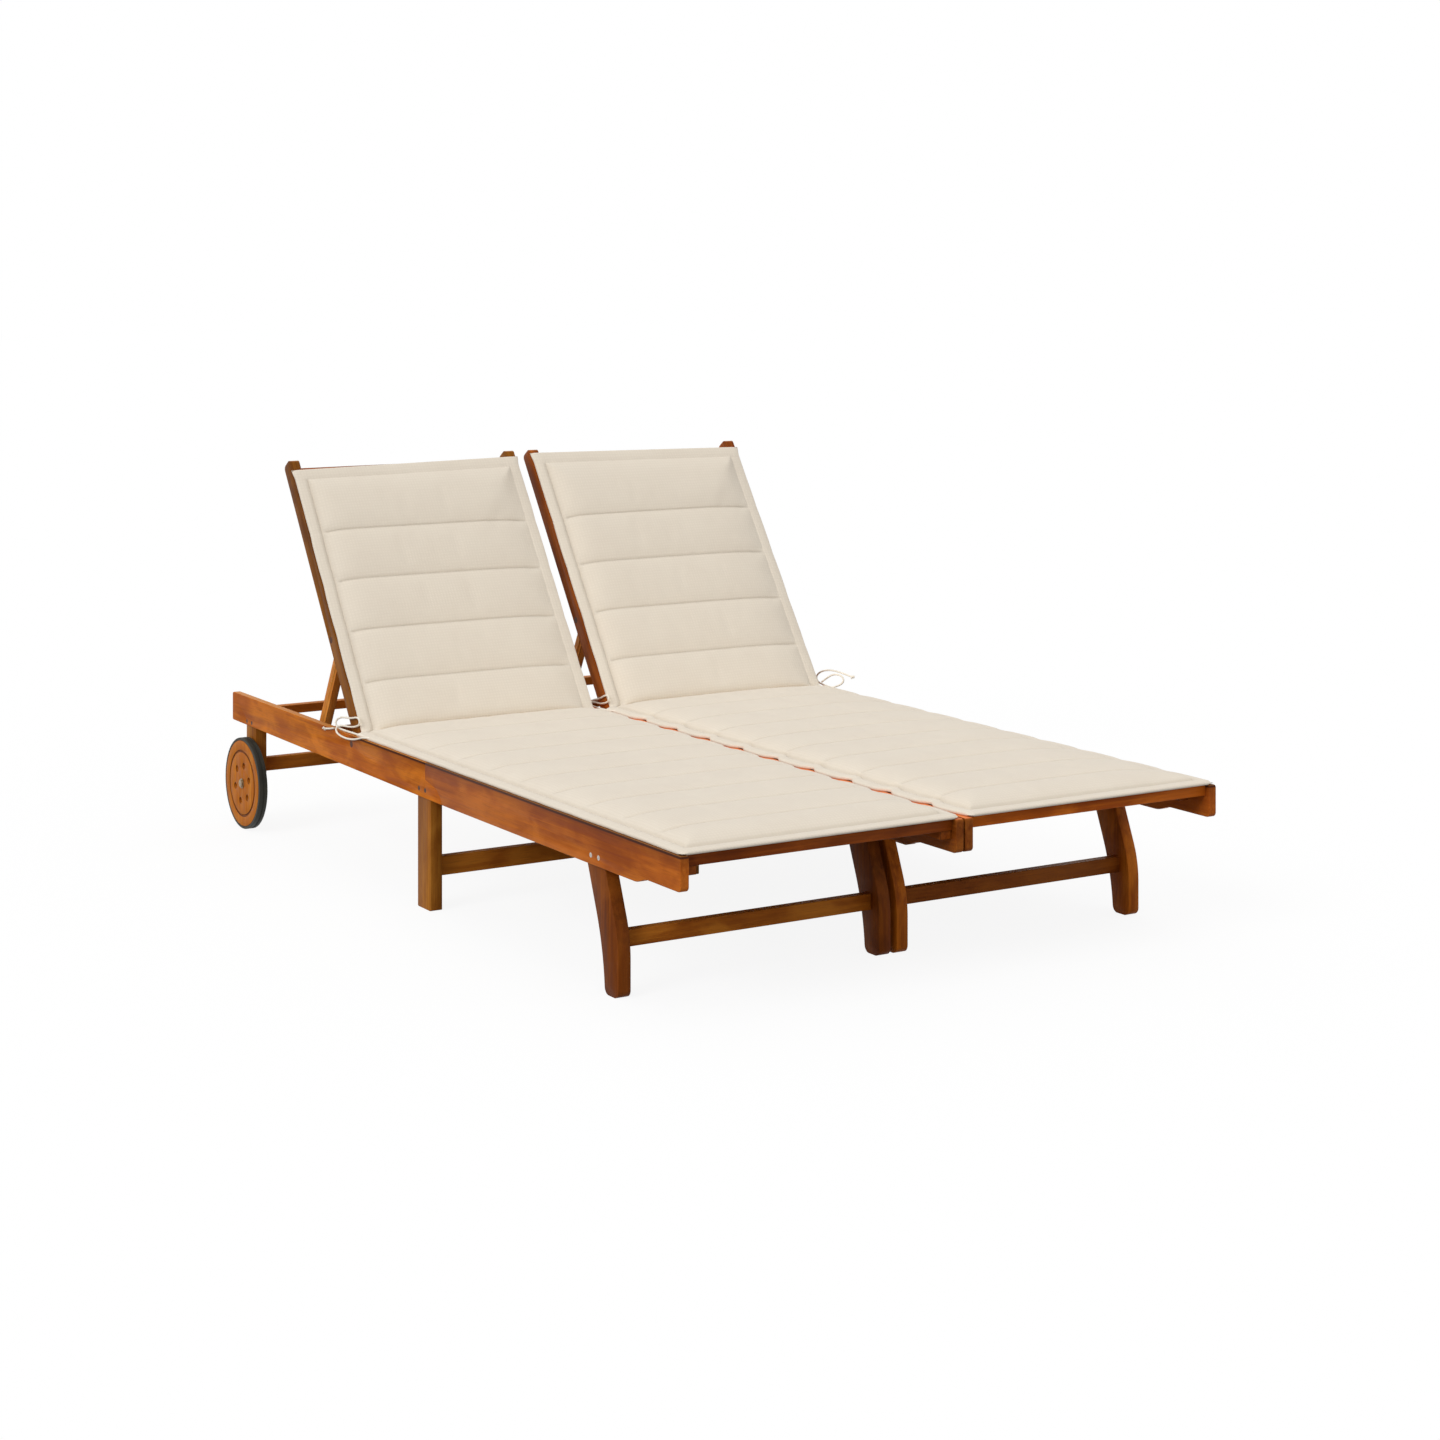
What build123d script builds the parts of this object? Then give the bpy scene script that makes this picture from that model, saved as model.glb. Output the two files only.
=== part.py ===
from build123d import *
from math import asin, cos, degrees, radians, sin
import os

os.makedirs("parts", exist_ok=True)

# Double chaise lounger: two wooden loungers bolted side by side, each with its own
# adjustable backrest, cushion and transport wheel.
# Lengths are in millimetres. X runs across, Y from the foot end to the head end, Z up.
# The origin is on the ground under the middle of the plan.

# Overall
lounger_length = 2000
lounger_width = 590
lounger_gap = 4
rail_thickness = 17
rail_top = 292

# Rail boards: depths below the top, and places from the foot end
foot_depth = 61
middle_depth = 71.5
head_depth = 63
step_front = 110
step_back = 158
foot_corner = 9
head_corner = 5
arris = 1.5

# Seam between the front and the rear board, measured from the middle of the mid leg
seam_gap = 0.3
seam_square = 14
seam_shoulder = 57
seam_toe = 90
seam_square_depth = 33
seam_shoulder_depth = 43

# Legs
leg_thickness = 25
leg_inset = 5
tongue_top = 37
front_leg_place = 221
front_leg_foot_width = 48
front_leg_knee = 66
front_leg_knee_rise = 74
front_leg_slope = 22
front_leg_width = 64.5
front_leg_screw_set = 23
front_leg_toe = 14
mid_leg_place = 1002
mid_leg_width = 58
mid_leg_corner = 3
head_leg_place = 100
head_leg_width = 55
head_leg_foot = 50
head_leg_corner = 6

# Stretchers
stretcher_thickness = 20
front_stretcher_set = 29
front_stretcher_low = 81.5
front_stretcher_depth = 30
mid_stretcher_low = 63.5
mid_stretcher_depth = 38
head_stretcher_low = 125
head_stretcher_depth = 30

# Seat
ledger_width = 24
ledger_depth = 16
slat_top_drop = 1
slat_thickness = 20
ledger_front_left = 15
ledger_front_right = 60
ledger_back_gap = 4
foot_bar_place = 12
foot_bar_width = 22
slat_width = 55
slat_count = 17
slat_front = 58
slat_back_gap = 32
slat_play = 1

# Backrest
hinge_from_head = 658
back_angle = 55.2
stile_depth = 36
stile_thickness = 22
stile_play = 1.5
stile_length = 678
stile_tip = 9
back_slat_width = 52
back_slat_thickness = 11
back_slat_count = 9
back_slat_low = 24
back_slat_top = 655
back_slat_housing = 6
housing_play = 0.1
head_bar_from_head = 40
head_bar_width = 24
head_bar_depth = 19.5
rest_gap = 0.5

# Prop under the backrest
prop_place = 245.5
prop_drop = 8
prop_angle = 62.4194
prop_bar_drop = 33.7
prop_width = 28
prop_thickness = 16
prop_play = 1.5
prop_bar_radius = 8
prop_bar_end_play = 5
flat_play = 1
rack_thickness = 15
rack_gap = 0.8
notch_play = 0.5
notch_sink = 6
notch_angle_shares = (1, 0.83, 0.67, 0.5, 0)
rack_front = 24
rack_back = 24
rack_lift = 1
rack_steps = 12

# Wheels
wheel_radius = 101.5
wheel_width = 20
wheel_gap = 3
tyre_depth = 5.5
tyre_groove_width = 4
tyre_groove_depth = 1.5
tyre_corner = 2
fit_play = 0.05
spoke_hole_radius = 6.5
spoke_hole_circle = 41
spoke_hole_count = 6
spoke_hole_turn = -16.6
wheel_groove_circle = 72
wheel_groove_width = 3
wheel_groove_depth = 1.5
axle_from_head = 102
axle_radius = 5
axle_washer_radius = 11
axle_washer_thickness = 1.5
axle_head_radius = 8.5
axle_head_height = 4.5
axle_nut_height = 8
axle_play = 0.3

# Small metal fasteners
screw_radius = 2
screw_head_radius = 4.5
screw_head_depth = 3
screw_length = 27
screw_spread = 14
screw_drop = 55
bolt_radius = 4
bolt_head_radius = 7
bolt_head_depth = 3
nut_radius = 6.5
nut_height = 4
nut_play = 0.3
collar_radius = 8
collar_thickness = 1.2
joining_bolt_from_foot = (180, 640)
joining_bolt_from_head = (540, 60)
joining_bolt_drop = 52
joining_head_radius = 9
joining_head_height = 5

# Cushions
pad_lift = 0.3
pad_thickness = 28
pad_crown = 2
pad_border = 29
pad_edge = 7
pad_edge_round = 2.5
pad_edge_trim = 0.5
pad_seam_drop = 1
pad_shoulder = 24
pad_shoulder_run = 70
pad_channel = 20
seat_pad_pitch = 130.4
back_pad_pitch = 121.5
pad_corner = 14
seat_pad_width = 584
seat_pad_foot_gap = 3
seat_pad_draw = 4
back_pad_width = 550
back_pad_length = 645
back_pad_draw = 1
back_pad_start = 1
back_pad_crease = 24
seat_pad_crease = 9
crease_gap = 2

# Ties
tie_diameter = 4
tie_sides = 8
tie_bend_share = 0.45

# Places worked out from the sizes above
foot_end = -lounger_length / 2
head_end = lounger_length / 2
half_width = lounger_width / 2
lounger_middle = half_width + lounger_gap / 2
rail_inner = half_width - rail_thickness
leg_outer = half_width - leg_inset
leg_inner = leg_outer - leg_thickness
front_leg_y = foot_end + front_leg_place
front_leg_bend = front_leg_knee_rise * (1 - cos(radians(front_leg_slope))) / sin(radians(front_leg_slope))
mid_leg_y = foot_end + mid_leg_place
head_leg_y = head_end - head_leg_place
stile_outer = rail_inner - stile_play
stile_inner = stile_outer - stile_thickness
hinge_y = head_end - hinge_from_head
hinge_z = rail_top - stile_depth / 2
back_cos = cos(radians(back_angle))
back_sin = sin(radians(back_angle))
slat_top = rail_top - slat_top_drop
slat_low = slat_top - slat_thickness
prop_outer = stile_inner - prop_play
prop_inner = prop_outer - prop_thickness
bar_reach = rail_inner - prop_bar_end_play
axle_y = head_end - axle_from_head
wheel_inner = leg_outer + wheel_gap
wheel_outer = wheel_inner + wheel_width
tongue_z = rail_top - tongue_top
sides = {"left": -1, "right": 1}
ends = {"outer": 1, "inner": -1}


def across(side, end, near, far):
    """Low X and width of a piece that lies between two distances from its lounger's middle."""
    first = side * (lounger_middle + end * near)
    second = side * (lounger_middle + end * far)
    return min(first, second), abs(second - first)


def side_plane(x):
    """Plane across X whose own x runs to the head end and own y runs up."""
    return Plane(origin=(x, 0, 0), x_dir=(0, 1, 0), z_dir=(1, 0, 0))


def back_plane(x):
    """Plane across X whose own x runs up the backrest from its hinge and own y out of its front."""
    return Plane(origin=(x, hinge_y, hinge_z), x_dir=(0, back_cos, back_sin), z_dir=(1, 0, 0))


def prop_pivot(lowered):
    """Y and Z of the prop's pivot with the backrest lowered by some degrees."""
    turn = radians(back_angle - lowered)
    y = hinge_y + prop_place * cos(turn) + prop_drop * sin(turn)
    z = hinge_z + prop_place * sin(turn) - prop_drop * cos(turn)
    return y, z


# The prop is as long as its lean and the bar's height in the first notch need. With the
# backrest flat its bar lies just under the stiles. One constant ratio takes the prop from
# the one place to the other.
prop_length = (prop_pivot(0)[1] - rail_top + prop_bar_drop) / sin(radians(prop_angle))
flat_bar_z = rail_top - stile_depth - flat_play - prop_bar_radius
prop_flat_angle = degrees(asin((hinge_z - prop_drop - flat_bar_z) / prop_length))
prop_ratio = (back_angle + prop_angle - prop_flat_angle) / back_angle


def bar_place(lowered):
    """Y and Z of the prop bar's middle with the backrest lowered by some degrees."""
    y, z = prop_pivot(lowered)
    slope = radians(prop_angle - (prop_ratio - 1) * lowered)
    return y + prop_length * cos(slope), z - prop_length * sin(slope)


def prop_plane(x):
    """Plane across X whose own x runs down the prop from its pivot."""
    y, z = prop_pivot(0)
    slope = radians(prop_angle)
    return Plane(origin=(x, y, z), x_dir=(0, cos(slope), -sin(slope)), z_dir=(1, 0, 0))


def cross_pin(side, end, y, z, near, far, radius):
    """A round bar along X between two distances from a lounger's middle, as a loose solid."""
    low, length = across(side, end, near, far)
    return Solid.make_cylinder(radius, length, Plane(origin=(low, y, z), z_dir=(1, 0, 0)))


def seam_points(shift):
    """The seam's points from the rail's lower edge to its top, moved along the rail by shift."""
    middle = mid_leg_y + shift
    toe = (middle - seam_toe, rail_top - middle_depth)
    shoulder = (middle - seam_shoulder, rail_top - seam_shoulder_depth)
    square = (middle - seam_square, rail_top - seam_square_depth)
    return toe, shoulder, square, (middle - seam_square, rail_top)


def rail_sketch(front):
    """Side outline of a rail's front or rear board, in the plane in use."""
    toe, shoulder, square, top = seam_points(-seam_gap if front else 0)
    with BuildSketch() as outline:
        with BuildLine():
            Line(square, shoulder)
            TangentArc(shoulder, toe, tangent=(shoulder[0] - square[0], shoulder[1] - square[1]))
            Line(square, top)
            if front:
                low = rail_top - foot_depth
                step_low = (foot_end + step_back, rail_top - middle_depth)
                step_high = (foot_end + step_front, low)
                middle = ((step_low[0] + step_high[0]) / 2, (step_low[1] + step_high[1]) / 2)
                Line(top, (foot_end, rail_top))
                Line((foot_end, rail_top), (foot_end, low))
                Line((foot_end, low), step_high)
                TangentArc(step_high, middle, tangent=(1, 0))
                TangentArc(step_low, middle, tangent=(-1, 0))
                Line(step_low, toe)
            else:
                low = rail_top - head_depth
                Line(top, (head_end, rail_top))
                Line((head_end, rail_top), (head_end, low))
                Line((head_end, low), toe)
        make_face()
        corners = outline.vertices().group_by(Axis.X)
        if front:
            fillet(corners[0].sort_by(Axis.Y)[0], foot_corner)
            fillet(outline.vertices().group_by(Axis.X)[0].sort_by(Axis.Y)[-1], head_corner)
        else:
            fillet(corners[-1], head_corner)
    return outline.sketch


front_board = rail_sketch(True)
rear_board = rail_sketch(False)
boards = {"front": front_board, "rear": rear_board}


def leg_spots(kind):
    """Place along Y between the two screws of a leg."""
    if kind == "head":
        return head_leg_y
    if kind == "mid":
        return mid_leg_y
    rise = rail_top - screw_drop - front_leg_knee - front_leg_knee_rise
    lean = rise * sin(radians(front_leg_slope)) / cos(radians(front_leg_slope))
    return front_leg_y + front_leg_bend + lean + front_leg_screw_set


def screw_spots():
    """Y and Z of every leg screw, two to a leg."""
    z = rail_top - screw_drop
    kinds = ("front", "mid", "head")
    return [(leg_spots(kind) + way * screw_spread, z) for kind in kinds for way in (-1, 1)]


def joining_spots():
    """Y and Z of the bolts that join the two middle rails."""
    z = rail_top - joining_bolt_drop
    places = [foot_end + place for place in joining_bolt_from_foot]
    places += [head_end - place for place in joining_bolt_from_head]
    return [(y, z) for y in places]


def screw_solid(side, end, y, z, play):
    """A countersunk screw through a rail into a leg, or the space that it fills."""
    shank = cross_pin(side, end, y, z, half_width - screw_length, half_width, screw_radius + play)
    face = side * lounger_middle + side * end * half_width
    plane = Plane(origin=(face, y, z), z_dir=(-side * end, 0, 0))
    head = Solid.make_cone(screw_head_radius + play, screw_radius + play, screw_head_depth, plane)
    return shank.fuse(head)


# Rails: four boards to a lounger, a front and a rear one on each side
for side_name, side in sides.items():
    for end_name, end in ends.items():
        for board_name, board in boards.items():
            x, width = across(side, end, rail_inner, half_width)
            with BuildPart() as rail:
                with BuildSketch(side_plane(x)):
                    add(board)
                extrude(amount=width)
                long_edges = rail.edges().filter_by(Axis.Y).group_by(Axis.Z)[-1]
                fillet(long_edges, arris)
                for y, z in screw_spots():
                    add(screw_solid(side, end, y, z, fit_play), mode=Mode.SUBTRACT)
                if board_name == "rear":
                    spot = (side, end, hinge_y, hinge_z)
                    hole = cross_pin(*spot, rail_inner, half_width, bolt_radius + fit_play)
                    sink_low = half_width - bolt_head_depth
                    sink = cross_pin(*spot, sink_low, half_width, bolt_head_radius + fit_play)
                    add([hole, sink], mode=Mode.SUBTRACT)
                if end_name == "inner":
                    for y, z in joining_spots():
                        hole = cross_pin(side, end, y, z, rail_inner, half_width, bolt_radius + fit_play)
                        add(hole, mode=Mode.SUBTRACT)
            rail.part.label = f"{side_name}_{end_name}_{board_name}_rail"
            export_step(rail.part, f"parts/{rail.part.label}.step")

# Legs: the front pair has an S-shaped outline, the others are straight. Above its shoulder
# each leg is rebated to a tongue that lies behind the rail, under the ledger.


def front_leg_outline():
    """S-shaped outline of a front leg, closed at the top of its tongue."""
    knee_top = front_leg_knee + front_leg_knee_rise
    lean = (tongue_z - knee_top) * sin(radians(front_leg_slope)) / cos(radians(front_leg_slope))
    slope = (sin(radians(front_leg_slope)), cos(radians(front_leg_slope)))
    front_low = (front_leg_y, front_leg_knee)
    front_high = (front_leg_y + front_leg_bend, knee_top)
    front_top = (front_leg_y + front_leg_bend + lean, tongue_z)
    back_low = (front_leg_y + front_leg_foot_width, 0)
    back_high = (front_leg_y + front_leg_bend + front_leg_width, knee_top)
    back_top = (front_leg_y + front_leg_bend + front_leg_width + lean, tongue_z)
    with BuildSketch() as outline:
        with BuildLine():
            Line((front_leg_y, 0), front_low)
            TangentArc(front_low, front_high, tangent=(0, 1))
            Line(front_high, front_top)
            Line(front_top, back_top)
            Line(back_top, back_high)
            TangentArc(back_high, back_low, tangent=(-slope[0], -slope[1]))
            Line(back_low, (front_leg_y, 0))
        make_face()
        fillet(outline.vertices().group_by(Axis.Y)[0], front_leg_toe)
    return outline.sketch


def straight_leg_outline(middle, width, low, corner):
    """Straight outline of a mid or head leg with rounded lower corners."""
    with BuildSketch() as outline:
        with Locations((middle, (low + tongue_z) / 2)):
            Rectangle(width, tongue_z - low)
        fillet(outline.vertices().group_by(Axis.Y)[0], corner)
    return outline.sketch


leg_outlines = {
    "front": front_leg_outline(),
    "mid": straight_leg_outline(mid_leg_y, mid_leg_width, 0, mid_leg_corner),
    "head": straight_leg_outline(head_leg_y, head_leg_width, head_leg_foot, head_leg_corner),
}
for side_name, side in sides.items():
    for end_name, end in ends.items():
        rail_x, rail_width = across(side, end, rail_inner, half_width)
        for leg_name, outline in leg_outlines.items():
            x, width = across(side, end, leg_inner, leg_outer)
            with BuildPart() as leg:
                with BuildSketch(side_plane(x)):
                    add(outline)
                extrude(amount=width)
                with BuildSketch(side_plane(rail_x)):
                    add(front_board)
                    add(rear_board)
                    with Locations((mid_leg_y, rail_top - middle_depth / 2)):
                        Rectangle(mid_leg_width, middle_depth)
                extrude(amount=rail_width, mode=Mode.SUBTRACT)
                for y, z in screw_spots():
                    add(screw_solid(side, end, y, z, fit_play), mode=Mode.SUBTRACT)
                if leg_name == "head" and end_name == "outer":
                    spot = (side, end, axle_y, wheel_radius)
                    hole = cross_pin(*spot, leg_inner, leg_outer, axle_radius + fit_play)
                    add(hole, mode=Mode.SUBTRACT)
            leg.part.label = f"{side_name}_{end_name}_{leg_name}_leg"
            export_step(leg.part, f"parts/{leg.part.label}.step")

# Stretchers between the legs of each lounger
stretchers = {
    "front": (front_leg_y + front_stretcher_set, front_stretcher_low, front_stretcher_depth),
    "mid": (mid_leg_y - stretcher_thickness / 2, mid_stretcher_low, mid_stretcher_depth),
    "head": (head_leg_y - stretcher_thickness / 2, head_stretcher_low, head_stretcher_depth),
}


def cross_board(side, front, low, width, depth, reach):
    """A plain board across one lounger from its front face and lower edge."""
    with BuildPart(Plane.XY.offset(low)) as board:
        with Locations((side * lounger_middle, front + width / 2)):
            Box(2 * reach, width, depth, align=(Align.CENTER, Align.CENTER, Align.MIN))
        fillet(board.edges().filter_by(Axis.X), arris)
    return board.part


for side_name, side in sides.items():
    for stretcher_name, (front, low, depth) in stretchers.items():
        with BuildPart() as stretcher:
            add(cross_board(side, front, low, stretcher_thickness, depth, leg_inner))
        stretcher.part.label = f"{side_name}_{stretcher_name}_stretcher"
        export_step(stretcher.part, f"parts/{stretcher.part.label}.step")

# Foot bar and head rest bar between the rails
head_bar_low = rail_top - stile_depth - rest_gap - head_bar_depth
for side_name, side in sides.items():
    with BuildPart() as foot_bar:
        bar_front = foot_end + foot_bar_place
        add(cross_board(side, bar_front, slat_low, foot_bar_width, slat_thickness, rail_inner))
    foot_bar.part.label = f"{side_name}_foot_bar"
    export_step(foot_bar.part, f"parts/{foot_bar.part.label}.step")
    with BuildPart() as head_bar:
        bar_front = head_end - head_bar_from_head
        add(cross_board(side, bar_front, head_bar_low, head_bar_width, head_bar_depth, rail_inner))
    head_bar.part.label = f"{side_name}_head_rest_bar"
    export_step(head_bar.part, f"parts/{head_bar.part.label}.step")

# Ledgers along the rails' inner faces, which carry the seat slats
ledger_back = hinge_y - stile_depth / 2 - ledger_back_gap
ledger_fronts = {"left": foot_end + ledger_front_left, "right": foot_end + ledger_front_right}
with BuildPart() as seat_ledgers:
    for side_name, side in sides.items():
        for end in ends.values():
            x, width = across(side, end, rail_inner - ledger_width, rail_inner)
            front = ledger_fronts[side_name]
            with Locations((x, front, slat_low)):
                Box(width, ledger_back - front, ledger_depth, align=(Align.MIN, Align.MIN, Align.MAX))
seat_ledgers.part.label = "seat_ledgers"
export_step(seat_ledgers.part, "parts/seat_ledgers.step")

# Seat slats on the ledgers
slat_first = foot_end + slat_front
slat_last = hinge_y - slat_back_gap - slat_width
slat_pitch = (slat_last - slat_first) / (slat_count - 1)
for side_name, side in sides.items():
    with BuildPart() as seat_slats:
        for number in range(slat_count):
            front = slat_first + number * slat_pitch
            with Locations((side * lounger_middle, front, slat_low)):
                Box(
                    2 * (rail_inner - slat_play),
                    slat_width,
                    slat_thickness,
                    align=(Align.CENTER, Align.MIN, Align.MIN),
                )
        top_edges = seat_slats.edges().filter_by(Axis.X).group_by(Axis.Z)[-1]
        chamfer(top_edges, arris)
    seat_slats.part.label = f"{side_name}_seat_slats"
    export_step(seat_slats.part, f"parts/{seat_slats.part.label}.step")

# Backrest stiles, hinged at the middle of their rounded lower ends
back_slat_pitch = (back_slat_top - back_slat_width - back_slat_low) / (back_slat_count - 1)
back_slat_places = [back_slat_low + number * back_slat_pitch for number in range(back_slat_count)]
back_front = stile_depth / 2
for side_name, side in sides.items():
    for end_name, end in ends.items():
        x, width = across(side, end, stile_inner, stile_outer)
        housing_x, housing_width = across(side, end, stile_inner, stile_inner + back_slat_housing)
        sink_x, sink_width = across(side, end, stile_outer - bolt_head_depth, stile_outer)
        with BuildPart() as stile:
            with BuildSketch(back_plane(x)) as outline:
                Circle(stile_depth / 2)
                with Locations((stile_length / 2, 0)):
                    Rectangle(stile_length, stile_depth)
                fillet(outline.vertices().group_by(Axis.X)[-1], stile_tip)
            extrude(amount=width)
            with BuildSketch(back_plane(x)):
                Circle(bolt_radius + fit_play)
                with Locations((prop_place, -prop_drop)):
                    Circle(bolt_radius + fit_play)
            extrude(amount=width, mode=Mode.SUBTRACT)
            with BuildSketch(back_plane(sink_x)):
                with Locations((prop_place, -prop_drop)):
                    Circle(bolt_head_radius + fit_play)
            extrude(amount=sink_width, mode=Mode.SUBTRACT)
            with BuildSketch(back_plane(housing_x)):
                for place in back_slat_places:
                    with Locations((place - housing_play, back_front)):
                        Rectangle(
                            back_slat_width + 2 * housing_play,
                            2 * (back_slat_thickness + housing_play),
                            align=(Align.MIN, Align.CENTER),
                        )
            extrude(amount=housing_width, mode=Mode.SUBTRACT)
        stile.part.label = f"{side_name}_{end_name}_stile"
        export_step(stile.part, f"parts/{stile.part.label}.step")

# Backrest slats, flush with the stiles' front faces and housed in their inner faces
slat_reach = stile_inner + back_slat_housing - housing_play
for side_name, side in sides.items():
    x, width = across(side, 1, -slat_reach, slat_reach)
    with BuildPart() as back_slats:
        with BuildSketch(back_plane(x)):
            for place in back_slat_places:
                with Locations((place, back_front)):
                    Rectangle(back_slat_width, back_slat_thickness, align=(Align.MIN, Align.MAX))
        extrude(amount=width)
    back_slats.part.label = f"{side_name}_back_slats"
    export_step(back_slats.part, f"parts/{back_slats.part.label}.step")

# Prop: two arms on the stiles and a round bar between their lower ends
for side_name, side in sides.items():
    with BuildPart() as prop_arms:
        for end in ends.values():
            x, width = across(side, end, prop_inner, prop_outer)
            with BuildSketch(prop_plane(x)):
                with Locations((prop_length / 2, 0)):
                    SlotCenterToCenter(prop_length, prop_width)
                Circle(bolt_radius + fit_play, mode=Mode.SUBTRACT)
                with Locations((prop_length, 0)):
                    Circle(prop_bar_radius + fit_play, mode=Mode.SUBTRACT)
            extrude(amount=width)
    prop_arms.part.label = f"{side_name}_prop_arms"
    export_step(prop_arms.part, f"parts/{prop_arms.part.label}.step")
    x, width = across(side, 1, -bar_reach, bar_reach)
    with BuildPart() as prop_bar:
        with BuildSketch(prop_plane(x)):
            with Locations((prop_length, 0)):
                Circle(prop_bar_radius)
        extrude(amount=width)
    prop_bar.part.label = f"{side_name}_prop_bar"
    export_step(prop_bar.part, f"parts/{prop_bar.part.label}.step")

# Notched racks on the rails' inner faces. Their upper edge follows the bar's path from
# below, and a round notch lies under the bar at each of the backrest's positions.
rack_drop = prop_bar_radius + rack_gap
rack_path = [bar_place(number * back_angle / rack_steps) for number in range(rack_steps + 1)]
rack_top_line = [(y, z - rack_drop) for y, z in rack_path]
rack_first = (rack_top_line[0][0] - rack_front, rack_top_line[0][1])
rack_last = (rack_top_line[-1][0] + rack_back, rack_top_line[-1][1])


def lower_edge(y):
    """Height of the rear board's lower edge at a place along Y."""
    toe_y = mid_leg_y - seam_toe
    share = (y - toe_y) / (head_end - toe_y)
    return rail_top - middle_depth + share * (middle_depth - head_depth)


with BuildPart() as prop_racks:
    for side in sides.values():
        for end in ends.values():
            x, width = across(side, end, rail_inner - rack_thickness, rail_inner)
            with BuildSketch(side_plane(x)):
                with BuildLine():
                    Polyline(
                        (rack_first[0], lower_edge(rack_first[0]) + rack_lift),
                        rack_first,
                        *rack_top_line,
                        rack_last,
                        (rack_last[0], lower_edge(rack_last[0]) + rack_lift),
                        close=True,
                    )
                make_face()
                for share in notch_angle_shares:
                    y, z = bar_place(back_angle - share * back_angle)
                    with Locations((y, z - notch_sink)):
                        Circle(prop_bar_radius + notch_play, mode=Mode.SUBTRACT)
            extrude(amount=width)
            for y, z in screw_spots():
                add(screw_solid(side, end, y, z, fit_play), mode=Mode.SUBTRACT)
prop_racks.part.label = "prop_racks"
export_step(prop_racks.part, "parts/prop_racks.step")

# Wheels: a wooden disc with six holes and a turned groove, in a rubber tyre
for side_name, side in sides.items():
    face = side * (lounger_middle + wheel_outer)
    wheel_plane = Plane(origin=(face, axle_y, wheel_radius), x_dir=(0, 1, 0), z_dir=(-side, 0, 0))
    disc_radius = wheel_radius - tyre_depth
    with BuildPart() as disc:
        with BuildSketch(wheel_plane):
            Circle(disc_radius - fit_play)
            Circle(axle_radius + fit_play, mode=Mode.SUBTRACT)
            with Locations(Rotation(0, 0, spoke_hole_turn * -side)):
                with PolarLocations(spoke_hole_circle, spoke_hole_count):
                    Circle(spoke_hole_radius, mode=Mode.SUBTRACT)
        extrude(amount=wheel_width)
        with BuildSketch(wheel_plane):
            Circle(wheel_groove_circle + wheel_groove_width / 2)
            Circle(wheel_groove_circle - wheel_groove_width / 2, mode=Mode.SUBTRACT)
        extrude(amount=wheel_groove_depth, mode=Mode.SUBTRACT)
    disc.part.label = f"{side_name}_wheel_disc"
    export_step(disc.part, f"parts/{disc.part.label}.step")
    with BuildPart() as tyre:
        with BuildSketch(Plane(origin=wheel_plane.origin, x_dir=(0, 0, 1), z_dir=(0, 1, 0))) as section:
            with Locations((disc_radius, -side * wheel_width / 2)):
                Rectangle(tyre_depth, wheel_width, align=(Align.MIN, Align.CENTER))
            fillet(section.vertices().group_by(Axis.X)[-1], tyre_corner)
            with Locations((wheel_radius, -side * wheel_width / 2)):
                Rectangle(2 * tyre_groove_depth, tyre_groove_width, mode=Mode.SUBTRACT)
        revolve(axis=Axis(wheel_plane.origin, (1, 0, 0)))
    tyre.part.label = f"{side_name}_tyre"
    export_step(tyre.part, f"parts/{tyre.part.label}.step")

# Wheel axles: a bolt with a domed head, a spacer between the wheel and the leg, and a nut
with BuildPart() as wheel_axles:
    for side in sides.values():
        steps = (
            (leg_inner - axle_nut_height, leg_inner, axle_head_radius),
            (leg_inner, wheel_outer, axle_radius),
            (leg_outer, wheel_inner - axle_play, axle_washer_radius),
            (wheel_outer + axle_play, wheel_outer + axle_play + axle_washer_thickness, axle_washer_radius),
            (wheel_outer, wheel_outer + axle_play + axle_head_height, axle_head_radius),
        )
        add([cross_pin(side, 1, axle_y, wheel_radius, near, far, radius) for near, far, radius in steps])
wheel_axles.part.label = "wheel_axles"
export_step(wheel_axles.part, "parts/wheel_axles.step")

# Screws through the rails into the legs
with BuildPart() as frame_screws:
    for side in sides.values():
        for end in ends.values():
            for y, z in screw_spots():
                add(screw_solid(side, end, y, z, 0))
frame_screws.part.label = "frame_screws"
export_step(frame_screws.part, "parts/frame_screws.step")

# Bolts on the frame: the four backrest pivots, and those that join the two middle rails
# across their spacers
with BuildPart() as frame_bolts:
    for side in sides.values():
        for end in ends.values():
            steps = (
                (half_width - bolt_head_depth, half_width, bolt_head_radius),
                (stile_inner - nut_play, half_width, bolt_radius),
                (rail_inner - collar_thickness, rail_inner, collar_radius),
                (stile_inner - nut_play - nut_height, stile_inner - nut_play, nut_radius),
            )
            add([cross_pin(side, end, hinge_y, hinge_z, near, far, radius) for near, far, radius in steps])
    middle_face = lounger_middle - rail_inner
    bolt_end = middle_face + joining_head_height
    for y, z in joining_spots():
        for near, far, radius in (
            (-bolt_end, bolt_end, bolt_radius),
            (-lounger_gap / 2, lounger_gap / 2, joining_head_radius),
            (-bolt_end, -middle_face, joining_head_radius),
            (middle_face, bolt_end, joining_head_radius),
        ):
            plane = Plane(origin=(near, y, z), z_dir=(1, 0, 0))
            add(Solid.make_cylinder(radius, far - near, plane))
frame_bolts.part.label = "frame_bolts"
export_step(frame_bolts.part, "parts/frame_bolts.step")

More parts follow.
